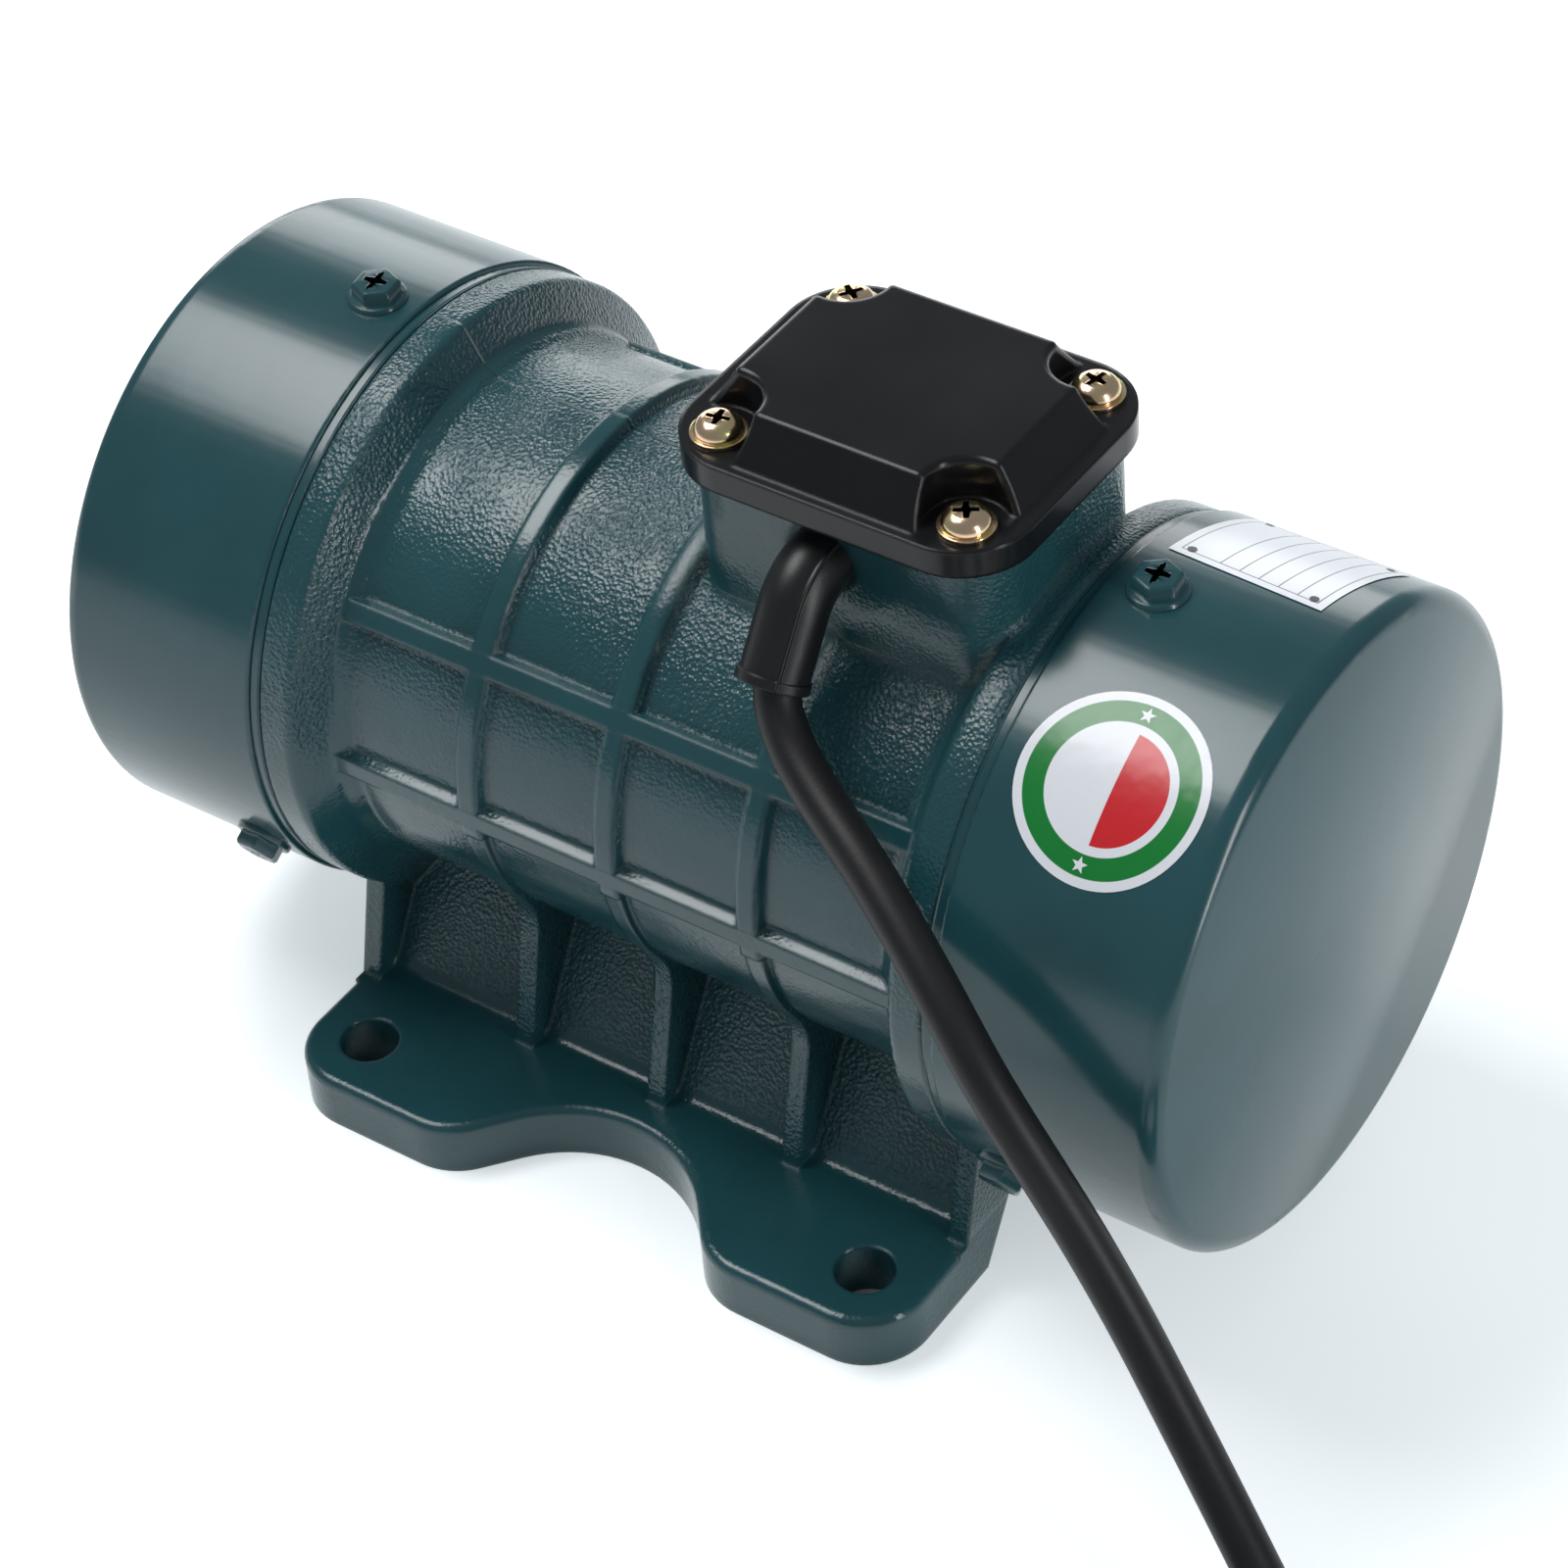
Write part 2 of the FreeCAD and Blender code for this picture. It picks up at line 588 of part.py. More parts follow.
def make_end_shield(name, turn):
    """Bearing carrier: spigot in the casting, plate, hub and the rim that the cover slides over."""
    body = new_body(f"end_shield_{name}", turn, z=HEIGHT)
    half = dim("housing_half")
    plate = half + dim("shield_plate")
    rim = dim("cover_radius") - dim("cover_wall") - dim("shield_rim_fit")
    seat = dim("bearing_radius") + FIT
    band_end = half + dim("shield_band")
    rim_end = band_end + dim("shield_rim_length")
    profile = new_sketch(body, "XZ_Plane", "profile")
    draw_loop(profile, [
        (half - dim("spigot_depth") + FIT, seat - 3),
        (half - dim("spigot_depth") + FIT, dim("spigot_radius") - FIT, 0.5),
        (half, dim("spigot_radius") - FIT),
        (half, dim("flange_radius")),
        (band_end, dim("flange_radius")),
        (band_end, rim),
        (rim_end, rim, 0.5),
        (rim_end, rim - dim("shield_rim_wall")),
        (plate, rim - dim("shield_rim_wall"), 0.8),
        (plate, dim("hub_radius"), 2),
        (hub_end(), dim("hub_radius"), 1),
        (hub_end(), seat),
        (bearing_end(1) + dim("circlip_thickness") + FIT, seat),
        (bearing_end(1) + dim("circlip_thickness") + FIT, seat + dim("circlip_depth")),
        (bearing_end(1), seat + dim("circlip_depth")),
        (bearing_end(1), seat),
        (bearing_end(-1), seat),
        (bearing_end(-1), seat - 3),
    ])
    spin(body, profile)
    bores = new_sketch(body, "YZ_Plane", "bores", plate + 1)
    place = around(dim("shield_screw_circle"), 45)
    draw_circle(bores, place[0], place[1], dim("shield_screw_bore") / 2)
    bore = extrude(body, bores, dim("shield_plate") + 2, cut=True)
    ring_about_shaft(body, bore, 4)
    taps = new_sketch(body, "XY_Plane", "taps", rim + 1)
    draw_circle(taps, cover_screw_x(), 0, dim("cover_screw_size") / 2 + FIT)
    tap = extrude(body, taps, dim("shield_rim_wall") + 2, cut=True)
    ring_about_shaft(body, tap, 3)


def cover_screw_x():
    return dim("housing_half") + dim("shield_band") + dim("cover_screw_offset")


def make_shield_screws(name, turn):
    """Four cap screws with hexagon sockets, seated on the shield's plate."""
    body = new_body(f"shield_screws_{name}", turn, z=HEIGHT)
    seat = dim("housing_half") + dim("shield_plate")
    place = around(dim("shield_screw_circle"), 45)
    head = new_sketch(body, "YZ_Plane", "head", seat)
    draw_circle(head, place[0], place[1], dim("shield_screw_head") / 2)
    extrude(body, head, dim("shield_screw_head_height"))
    shank = new_sketch(body, "YZ_Plane", "shank", seat)
    draw_circle(shank, place[0], place[1], dim("shield_screw_size") / 2)
    extrude(body, shank, dim("shield_screw_length") - 4.5, reverse=True)
    socket = new_sketch(body, "YZ_Plane", "socket", seat + dim("shield_screw_head_height"))
    draw_hexagon(socket, place[0], place[1], 0.8 * dim("shield_screw_size"))
    extrude(body, socket, dim("shield_screw_head_height") / 2, cut=True)
    copy_whole(body, ring_about_shaft(body, body.Tip, 4))


def draw_hexagon(sketch, x, y, across_flats, turn=0):
    """A hexagon with two corners on the sketch's first axis, unless it is turned."""
    reach = across_flats / 2 / cosine(30)
    draw_loop(sketch, [(x + reach * cosine(60 * number + turn), y + reach * sine(60 * number + turn))
                       for number in range(6)])


def make_cover(name, turn):
    """Round end cover, a drawn cup with a rounded rim edge and three screw holes."""
    body = new_body(f"cover_{name}", turn, z=HEIGHT)
    lip = dim("housing_half") + dim("shield_band")
    wall = dim("cover_wall")
    end = shaft_end() + dim("cover_end_room") + wall
    radius = dim("cover_radius")
    profile = new_sketch(body, "XZ_Plane", "profile")
    draw_loop(profile, [
        (lip, radius - wall),
        (lip, radius, 0.4),
        (end, radius, dim("cover_corner")),
        (end, as_size(0)),
        (end - wall, as_size(0)),
        (end - wall, radius - wall, dim("cover_corner") - wall),
    ])
    spin(body, profile)
    bores = new_sketch(body, "XY_Plane", "bores", radius + 1)
    draw_circle(bores, cover_screw_x(), 0, dim("cover_screw_size") / 2 + 0.2)
    bore = extrude(body, bores, wall + 2, cut=True)
    ring_about_shaft(body, bore, 3)


def make_cover_screws(name, turn):
    """Three hexagon screws with a pressed washer under the head."""
    body = new_body(f"cover_screws_{name}", turn, z=HEIGHT)
    x = cover_screw_x()
    seat = dim("cover_radius")
    flange = new_sketch(body, "XY_Plane", "flange", seat)
    draw_circle(flange, x, 0, dim("cover_flange") / 2)
    extrude(body, flange, dim("cover_flange_height"))
    head = new_sketch(body, "XY_Plane", "head", seat + dim("cover_flange_height"))
    draw_hexagon(head, x, as_size(0), dim("cover_head_width"))
    extrude(body, head, dim("cover_head_height") - dim("cover_flange_height"))
    shank = new_sketch(body, "XY_Plane", "shank", seat)
    draw_circle(shank, x, 0, dim("cover_screw_size") / 2)
    extrude(body, shank, dim("cover_screw_length"), reverse=True)
    copy_whole(body, ring_about_shaft(body, body.Tip, 3))


# ---- stator, rotor and shaft ---------------------------------------------------------------

def radial_slot(middle_half, inner, outer):
    """Corners of a slot that stands on the top of the shaft circle."""
    return [(-middle_half, inner), (middle_half, inner), (middle_half, outer), (-middle_half, outer)]


def make_stator_core():
    """Stack of stampings: a ring with open slots round its bore."""
    body = new_body("stator_core", z=HEIGHT)
    bore = dim("rotor_radius") + dim("air_gap")
    ring = new_sketch(body, "YZ_Plane", "ring")
    draw_circle(ring, 0, 0, dim("stator_radius") - FIT)
    draw_circle(ring, 0, 0, bore)
    extrude(body, ring, dim("core_length"), both=True)
    slot = new_sketch(body, "YZ_Plane", "slot")
    mouth = dim("slot_mouth") / 2
    half = dim("slot_width") / 2
    floor = bore + dim("slot_lip")
    draw_loop(slot, [
        (-mouth, bore - 1), (mouth, bore - 1), (mouth, floor), (half, floor),
        (half, floor + dim("slot_depth")), (-half, floor + dim("slot_depth")), (-half, floor), (-mouth, floor),
    ])
    cut = extrude(body, slot, dim("core_length") + 2, cut=True, both=True)
    ring_about_shaft(body, cut, dim("slot_count"))


def make_stator_windings():
    """Wound bars in the slots, joined by a bound ring at each end."""
    body = new_body("stator_windings", z=HEIGHT)
    floor = dim("rotor_radius") + dim("air_gap") + dim("slot_lip")
    bar = new_sketch(body, "YZ_Plane", "bar")
    fit = dim("winding_fit")
    draw_loop(bar, radial_slot(dim("slot_width") / 2 - fit, floor + fit, floor + dim("slot_depth") - fit))
    row = extrude(body, bar, dim("core_length") + 2, both=True)
    ring_about_shaft(body, row, dim("slot_count"))
    start = dim("core_length") / 2 + fit
    end = dim("core_length") / 2 + dim("winding_overhang")
    ends = new_sketch(body, "XZ_Plane", "ends")
    for side in (-1, 1):
        draw_loop(ends, [
            (side * start, dim("winding_inner") - 1), (side * start, dim("winding_outer"), 2),
            (side * end, dim("winding_outer"), 3), (side * end, dim("winding_inner"), 3),
        ])
    spin(body, ends)


def make_rotor_core():
    body = new_body("rotor_core", z=HEIGHT)
    disc = new_sketch(body, "YZ_Plane", "disc")
    draw_circle(disc, 0, 0, dim("rotor_radius"))
    draw_circle(disc, 0, 0, dim("core_seat_radius") + FIT)
    extrude(body, disc, dim("core_length"), both=True)


def make_rotor_end_rings():
    """Cast short-circuit rings against both ends of the rotor core."""
    body = new_body("rotor_end_rings", z=HEIGHT)
    start = dim("core_length") / 2
    ring = new_sketch(body, "XZ_Plane", "ring")
    inner = dim("core_seat_radius") + 3
    draw_loop(ring, [
        (start, inner), (start, dim("end_ring_radius")),
        (start + dim("end_ring_width"), dim("end_ring_radius"), 1), (start + dim("end_ring_width"), inner),
    ])
    spin(body, ring)
    mirror_whole(body)


def weight_face(number, side):
    """X of a weight's near (-1) or far (+1) face; 0 is the keyed inner weight, 1 the outer one."""
    near = hub_end() + dim("weight_clearance") + number * (dim("weight_thickness") + dim("weight_gap"))
    return near if side < 0 else near + dim("weight_thickness")


def shaft_end():
    """X of the shaft's tip, past the circlip that holds the outer weight."""
    return weight_face(1, 1) + dim("shaft_clip_gap") + dim("circlip_thickness") + dim("shaft_tail")


def make_shaft():
    """Stepped shaft: core seat, two journals, two weight seats with keyways and clip grooves."""
    body = new_body("rotor_shaft", z=HEIGHT)
    seat = dim("weight_seat_radius")
    groove = weight_face(1, 1) + dim("shaft_clip_gap")
    end = shaft_end()
    half = [
        (bearing_end(-1), dim("core_seat_radius"), 0.5),
        (bearing_end(-1), dim("journal_radius")),
        (weight_face(0, -1), dim("journal_radius")),
        (weight_face(0, -1), seat),
        (groove, seat),
        (groove, seat - dim("circlip_depth")),
        (groove + dim("circlip_thickness") + FIT, seat - dim("circlip_depth")),
        (groove + dim("circlip_thickness") + FIT, seat),
        (end, seat, 0.8),
        (end, as_size(0)),
    ]
    profile = new_sketch(body, "XZ_Plane", "profile")
    draw_loop(profile, half + [(-corner[0],) + corner[1:] for corner in reversed(half)])
    spin(body, profile)
    keyway = new_sketch(body, "XY_Plane", "keyway", -seat + dim("key_inset") + FIT)
    for side in (-1, 1):
        draw_rectangle(keyway, dim("key_length") + FIT, dim("key_width") + FIT, x=side * key_middle())
    extrude(body, keyway, dim("key_inset") + 2, cut=True)


def key_middle():
    return (weight_face(0, -1) + weight_face(0, 1)) / 2


def make_shaft_keys():
    """Parallel keys that lock the inner weights to the shaft."""
    body = new_body("shaft_keys", z=HEIGHT)
    plan = new_sketch(body, "XY_Plane", "plan", -dim("weight_seat_radius") - dim("key_rise"))
    draw_rectangle(plan, dim("key_length"), dim("key_width"), x=key_middle())
    extrude(body, plan, dim("key_inset") + dim("key_rise"))
    mirror_whole(body)


def make_weight(name, turn, number):
    """Half-disc unbalance weight with a slit hub that a bolt clamps on the shaft."""
    body = new_body(name, turn, z=HEIGHT)
    near = weight_face(number, -1)
    thickness = dim("weight_thickness")
    bore = dim("weight_seat_radius") + FIT
    disc = new_sketch(body, "YZ_Plane", "disc", near)
    draw_circle(disc, 0, 0, dim("weight_radius"))
    extrude(body, disc, thickness)
    cut = new_sketch(body, "YZ_Plane", "chord", near + thickness)
    above = dim("weight_radius") + 5
    chord = dim("weight_chord")
    draw_loop(cut, [(-above, chord), (above, chord), (above, above), (-above, above)])
    extrude(body, cut, thickness, cut=True)
    hub = new_sketch(body, "YZ_Plane", "hub", near)
    draw_circle(hub, 0, 0, dim("weight_hub_radius"))
    extrude(body, hub, thickness)
    lug = new_sketch(body, "YZ_Plane", "lug", near)
    half = dim("clamp_lug_half")
    draw_loop(lug, [(-half, as_size(0)), (half, as_size(0)), (half, dim("clamp_lug"), 1.5),
                    (-half, dim("clamp_lug"), 1.5)])
    extrude(body, lug, thickness)
    opening = new_sketch(body, "YZ_Plane", "opening", near + thickness + 1)
    draw_circle(opening, 0, 0, bore)
    extrude(body, opening, thickness + 2, cut=True)
    slit = new_sketch(body, "YZ_Plane", "slit", near + thickness + 1)
    gap = dim("clamp_slot") / 2
    above_lug = dim("clamp_lug") + 1
    draw_loop(slit, [(-gap, as_size(0)), (gap, as_size(0)), (gap, above_lug), (-gap, above_lug)])
    extrude(body, slit, thickness + 2, cut=True)
    if number == 0:
        keyway = new_sketch(body, "YZ_Plane", "keyway", near + thickness + 1)
        key = dim("key_width") / 2 + FIT
        floor = dim("weight_seat_radius") + dim("key_rise") + FIT
        draw_loop(keyway, [(-key, as_size(0)), (key, as_size(0)), (key, -floor), (-key, -floor)])
        extrude(body, keyway, thickness + 2, cut=True)
    cross = new_sketch(body, "XZ_Plane", "bolt_hole")
    draw_circle(cross, near + thickness / 2, clamp_height(), dim("clamp_bolt") / 2 + FIT)
    extrude(body, cross, 2 * half + 2, cut=True, both=True)


def clamp_height():
    return dim("clamp_lug") - 0.9 * dim("clamp_bolt")


def make_clamp_bolt(name, turn, number, both_ends=False):
    """Clamp bolt across a weight's slit, with its nut."""
    body = new_body(name, turn, z=HEIGHT)
    x = (weight_face(number, -1) + weight_face(number, 1)) / 2
    half = dim("clamp_lug_half")
    shank = new_sketch(body, "XZ_Plane", "shank")
    draw_circle(shank, x, clamp_height(), dim("clamp_bolt") / 2)
    extrude(body, shank, 2 * half + 6, both=True)
    head = new_sketch(body, "XZ_Plane", "head", half)
    draw_hexagon(head, x, clamp_height(), 7.6, turn=30)
    extrude(body, head, 3.5)
    nut = new_sketch(body, "XZ_Plane", "nut", -half)
    draw_hexagon(nut, x, clamp_height(), 7.6, turn=30)
    extrude(body, nut, 3.5, reverse=True)
    if both_ends:
        mirror_whole(body)


def make_clip(name, x, inner, outer):
    """A pair of retaining rings, one at each end, each with its open gap on top."""
    body = new_body(name, z=HEIGHT)
    ring = new_sketch(body, "YZ_Plane", "ring", x)
    draw_circle(ring, 0, 0, outer)
    draw_circle(ring, 0, 0, inner)
    extrude(body, ring, dim("circlip_thickness"))
    gap = new_sketch(body, "YZ_Plane", "gap", x + dim("circlip_thickness") + 1)
    draw_loop(gap, [(as_size(-2), as_size(0)), (as_size(2), as_size(0)), (as_size(2), outer + 1),
                    (as_size(-2), outer + 1)])
    extrude(body, gap, dim("circlip_thickness") + 2, cut=True)
    mirror_whole(body)


# ---- ball bearings -------------------------------------------------------------------------

def make_race(name, turn, inner, outer):
    """One bearing ring with its ball groove."""
    body = new_body(name, turn, z=HEIGHT)
    profile = new_sketch(body, "XZ_Plane", "profile")
    draw_loop(profile, [
        (bearing_end(-1) + FIT, inner), (bearing_end(1) - FIT, inner),
        (bearing_end(1) - FIT, outer), (bearing_end(-1) + FIT, outer),
    ])
    spin(body, profile)
    track = new_sketch(body, "XZ_Plane", "track")
    draw_circle(track, bearing_middle(), dim("ball_pitch"), dim("ball_radius") + dim("race_fit"))
    spin(body, track, cut=True)


def make_cage(name, turn):
    """Ball cage: a thin ring with a round pocket for each ball."""
    body = new_body(name, turn, z=HEIGHT)
    half = dim("cage_width") / 2
    centre = bearing_middle()
    profile = new_sketch(body, "XZ_Plane", "profile")
    draw_loop(profile, [
        (centre - half, dim("cage_inner")), (centre + half, dim("cage_inner")),
        (centre + half, dim("cage_outer")), (centre - half, dim("cage_outer")),
    ])
    spin(body, profile)
    pocket = new_sketch(body, "XY_Plane", "pocket", dim("cage_outer") + 1)
    draw_circle(pocket, centre, 0, dim("ball_radius") + dim("ball_pocket_fit"))
    cut = extrude(body, pocket, dim("cage_outer") - dim("cage_inner") + 3, cut=True)
    ring_about_shaft(body, cut, dim("ball_count"))


def make_balls(name, side):
    """The bearing's balls, spread evenly on their pitch circle."""
    balls = []
    for number in range(int(dim("ball_count").value)):
        ball = document.addObject("Part::Sphere", f"{name}_{number}")
        ball.setExpression("Radius", dim("ball_radius").formula)
        across, up = around(dim("ball_pitch"), number * 360 / dim("ball_count"))
        for direction, size in (("x", side * bearing_middle()), ("y", across), ("z", HEIGHT + up)):
            ball.setExpression(f"Placement.Base.{direction}", size.formula)
        balls.append(ball)
    group = document.addObject("Part::Compound", name)
    group.Label = name
    group.Links = balls


# ---- terminal box --------------------------------------------------------------------------

def make_box_gasket():
    body = new_body("box_gasket", z=HEIGHT)
    middle = dim("box_centre")
    wall = 2 * dim("box_wall")
    plan = new_sketch(body, "XY_Plane", "plan", dim("box_face"))
    length, depth = dim("box_flange_length"), dim("box_flange_depth")
    draw_rectangle(plan, length, depth, dim("box_flange_corner"), x=middle)
    draw_rectangle(plan, dim("box_length") - wall, dim("box_depth") - wall, 4, x=middle)
    extrude(body, plan, dim("gasket_thickness"))
    bores = new_sketch(body, "XY_Plane", "bores", dim("box_face") + dim("gasket_thickness") + 1)
    for x, y in lid_screw_places():
        draw_circle(bores, x, y, dim("lid_screw_bore") / 2)
    extrude(body, bores, dim("gasket_thickness") + 2, cut=True)


def lid_bottom():
    """Height of the lid's lower edge over the shaft, a little below the box's rim."""
    return dim("box_face") - dim("lid_overlap")


def lid_shoulder():
    """Height of the lid's shoulder over the shaft, where the washers sit."""
    return lid_bottom() + dim("lid_skirt")


def make_box_lid():
    """Moulded lid: a skirt over the box rim, a raised sloping panel and a scoop round each screw."""
    body = new_body("box_lid", z=HEIGHT)
    middle = dim("box_centre")
    shoulder = lid_shoulder()
    top = shoulder + dim("lid_rise")
    skirt = new_sketch(body, "XY_Plane", "skirt", lid_bottom())
    draw_rectangle(skirt, dim("lid_length"), dim("lid_depth"), dim("lid_corner"), x=middle)
    extrude(body, skirt, dim("lid_skirt"))
    base = new_sketch(body, "XY_Plane", "panel_base", shoulder)
    draw_rectangle(base, dim("lid_base_length"), dim("lid_base_depth"), 8, x=middle)
    crown = new_sketch(body, "XY_Plane", "panel_crown", top)
    draw_rectangle(crown, dim("lid_crown_length"), dim("lid_crown_depth"), 6, x=middle)
    panel = body.newObject("PartDesign::AdditiveLoft", "box_lid_panel")
    panel.Profile = base
    panel.Sections = [crown]
    panel.Ruled = True
    body.Tip = panel
    scoops = new_sketch(body, "XY_Plane", "scoops", top + 1)
    bores = new_sketch(body, "XY_Plane", "bores", top + 1)
    for x, y in lid_screw_places():
        draw_circle(scoops, x, y, dim("scoop_radius"))
        draw_circle(bores, x, y, dim("lid_screw_bore") / 2)
    extrude(body, scoops, top + 1 - shoulder, cut=True)
    low = shoulder.value + 0.01
    round_edges(body, dim("lid_edge"), lambda edge: edge.BoundBox.ZMax > low)
    skirt_room = new_sketch(body, "XY_Plane", "skirt_room", lid_bottom())
    spare = 2 * dim("lid_fit")
    draw_rectangle(skirt_room, dim("box_flange_length") + spare, dim("box_flange_depth") + spare,
                   dim("box_flange_corner") + dim("lid_fit"), x=middle)
    ceiling = dim("box_face") + dim("gasket_thickness")
    extrude(body, skirt_room, ceiling - lid_bottom(), cut=True, reverse=True)
    clear = dim("scoop_radius") + dim("lid_wall")
    for name, length, depth in (
            ("room_long", dim("lid_crown_length") - 2 * dim("lid_wall"), 2 * (dim("lid_screw_y") - clear)),
            ("room_wide", 2 * (dim("lid_screw_x") - clear), dim("lid_crown_depth") - 2 * dim("lid_wall"))):
        room = new_sketch(body, "XY_Plane", name, ceiling)
        draw_rectangle(room, length, depth, x=middle)
        extrude(body, room, top - dim("lid_wall") - ceiling, cut=True, reverse=True)
    extrude(body, bores, top - lid_bottom() + 2, cut=True)


def spread_over_corners(body, feature, sketch):
    """Repeat the whole body at the lid's four screw places."""
    pattern = repeat_grid(body, [feature], sketch, 2 * dim("lid_screw_x"), 2 * dim("lid_screw_y"))
    copy_whole(body, pattern)


def make_lid_washers():
    body = new_body("lid_washers", z=HEIGHT)
    x, y = lid_screw_places()[0]
    plan = new_sketch(body, "XY_Plane", "plan", lid_shoulder())
    draw_circle(plan, x, y, dim("lid_washer") / 2)
    draw_circle(plan, x, y, dim("lid_screw_size") / 2 + 0.2)
    spread_over_corners(body, extrude(body, plan, dim("washer_thickness")), plan)


def make_lid_screws():
    """Four pan-head screws with domed heads."""
    body = new_body("lid_screws", z=HEIGHT)
    x, y = lid_screw_places()[0]
    seat = lid_shoulder() + dim("washer_thickness")
    shank = new_sketch(body, "XY_Plane", "shank", seat)
    draw_circle(shank, x, y, dim("lid_screw_size") / 2)
    extrude(body, shank, dim("lid_screw_length"), reverse=True)
    head = new_sketch(body, "XY_Plane", "head", seat)
    draw_circle(head, x, y, dim("pan_head") / 2)
    extrude(body, head, dim("pan_height"))
    rim = (seat + dim("pan_height")).value
    dome = round_edges(body, 0.5 * dim("pan_height"), lambda edge: edge.BoundBox.ZMin > rim - 0.01)
    spread_over_corners(body, dome, shank)


def block_middle():
    return dim("box_centre") + 3


def make_terminal_block():
    """Terminal block with a screw well over each pole."""
    body = new_body("terminal_block", z=HEIGHT)
    floor = dim("box_floor")
    plan = new_sketch(body, "XY_Plane", "plan", floor)
    draw_rectangle(plan, dim("terminal_length"), dim("terminal_depth"), x=block_middle())
    extrude(body, plan, dim("terminal_height"))
    wells = new_sketch(body, "XY_Plane", "wells", floor + dim("terminal_height"))
    ports = new_sketch(body, "XZ_Plane", "ports", dim("terminal_depth") / 2)
    for number in (-1, 0, 1):
        draw_circle(wells, pole_x(number), 0, TERMINAL_HEAD + FIT)
        draw_circle(ports, pole_x(number), floor + dim("terminal_height") / 2, dim("core_wire") / 2 + FIT)
    extrude(body, wells, 3, cut=True)
    extrude(body, ports, 3, cut=True)


TERMINAL_HEAD = as_size(1.9)


def pole_x(number):
    return block_middle() + number * dim("terminal_length") / 3


def make_terminal_screws():
    body = new_body("terminal_screws", z=HEIGHT)
    plan = new_sketch(body, "XY_Plane", "plan", dim("box_floor") + dim("terminal_height") - 3)
    for number in (-1, 0, 1):
        draw_circle(plan, pole_x(number), 0, TERMINAL_HEAD)
    extrude(body, plan, 2)


def make_earth_screw():
    body = new_body("earth_screw", z=HEIGHT)
    x = dim("box_centre") - dim("box_length") / 4
    head = new_sketch(body, "XY_Plane", "head", dim("box_floor"))
    draw_circle(head, x, -8, 3.5)
    extrude(body, head, 2.6)
    shank = new_sketch(body, "XY_Plane", "shank", dim("box_floor"))
    draw_circle(shank, x, -8, EARTH_SIZE / 2)
    extrude(body, shank, 5, reverse=True)


def make_capacitor():
    """Run capacitor, a small can lying on the floor of the box behind the block."""
    body = new_body("run_capacitor", z=HEIGHT)
    radius = dim("capacitor_radius")
    middle = block_middle()
    back = dim("terminal_depth") / 2 + 0.3 + radius
    section = new_sketch(body, "YZ_Plane", "section", middle - dim("capacitor_length") / 2)
    draw_circle(section, back, dim("box_floor") + radius, radius)
    extrude(body, section, dim("capacitor_length"))


# ---- cable, sleeve and plug ----------------------------------------------------------------

def arc_path(points):
    """Straight runs through the points joined by tangent arcs, and the radius at each bend."""
    edges = []
    radii = []
    start = points[0]
    for before, here, after in zip(points, points[1:], points[2:]):
        arriving = here - before
        leaving = after - here
        turn = arriving.getAngle(leaving)
        reach = 0.45 * min(arriving.Length, leaving.Length)
        radii.append(reach / math.tan(turn / 2))
        enter = here - arriving.normalize() * reach
        depart = here + leaving.normalize() * reach
        inward = (leaving - arriving).normalize()
        middle = here + inward * (radii[-1] / math.cos(turn / 2) - radii[-1])
        edges.append(Part.LineSegment(start, enter).toShape())
        edges.append(Part.Arc(enter, middle, depart).toShape())
        start = depart
    edges.append(Part.LineSegment(start, points[-1]).toShape())
    return Part.Wire(edges), radii


def swept_tube(points, radius):
    """A solid round bar along the path, and the radius at each of its bends."""
    path, radii = arc_path(points)
    along = (points[1] - points[0]).normalize()
    tube = path.makePipeShell([Part.Wire(Part.makeCircle(radius, points[0], along))], True, False)
    volume = math.pi * radius ** 2 * path.Length
    if abs(tube.Volume / volume - 1) > 0.01:
        raise RuntimeError("a swept tube has lost part of its volume")
    return tube, radii


def add_feature(name, shape):
    feature = document.addObject("Part::Feature", name)
    feature.Label = name
    feature.Shape = shape
    feature.Placement = FreeCAD.Placement()
    return feature


# Where the cable lies, from inside the sleeve, past the right cover and down to the floor.
CABLE_ROUTE = [
    (27.5, -14.9, 123), (27.5, -26, 123), (27.5, -35.5, 109.3), (32.5, -39.5, 103.2), (41, -44, 99.3),
    (53.5, -50, 95.5), (64.5, -55.8, 90.8), (73.3, -60.3, 86), (80.5, -63.6, 80.5), (86.5, -65.2, 74.5),
    (92.3, -65.8, 67.3), (100, -66.4, 57), (109.2, -68.3, 45.5), (118.3, -71.4, 35.2), (127, -75, 27),
    (136.5, -79.6, 19.5), (148.5, -85.7, 10.5), (160, -91.3, 5.2), (169, -95.7, 3.8),
]
# The route is drawn for a box whose outer wall stands this far in front of the shaft's plane.
CABLE_WALL = 20.75
MOUTH_POINT = 2
LYING_HEIGHT = CABLE_ROUTE[-1][2]
COIL_CENTRE = (148.4, -137.5)
COIL_TURNS_ACROSS = 3.23
# The top turn leaves the coil at this angle round it, and the cable and plug go on from there.
LEAVING_ANGLE = -105
PLUG_TURN = LEAVING_ANGLE - 90
LAST_TURN_SLACK = 28
TAIL_LENGTH = 20


def cable_points():
    """The cable's route as vectors; where the box's cable hole moves, the hanging part goes with it."""
    points = [FreeCAD.Vector(*point) for point in CABLE_ROUTE]
    entry = points[0]
    height = (HEIGHT + dim("sleeve_height")).value
    wall_shift = CABLE_WALL - (dim("box_depth") / 2).value
    shift = FreeCAD.Vector(dim("sleeve_x").value - entry.x, wall_shift, height - entry.z)
    reach = entry.z - LYING_HEIGHT
    return [point + shift * ((point.z - LYING_HEIGHT) / reach) for point in points]


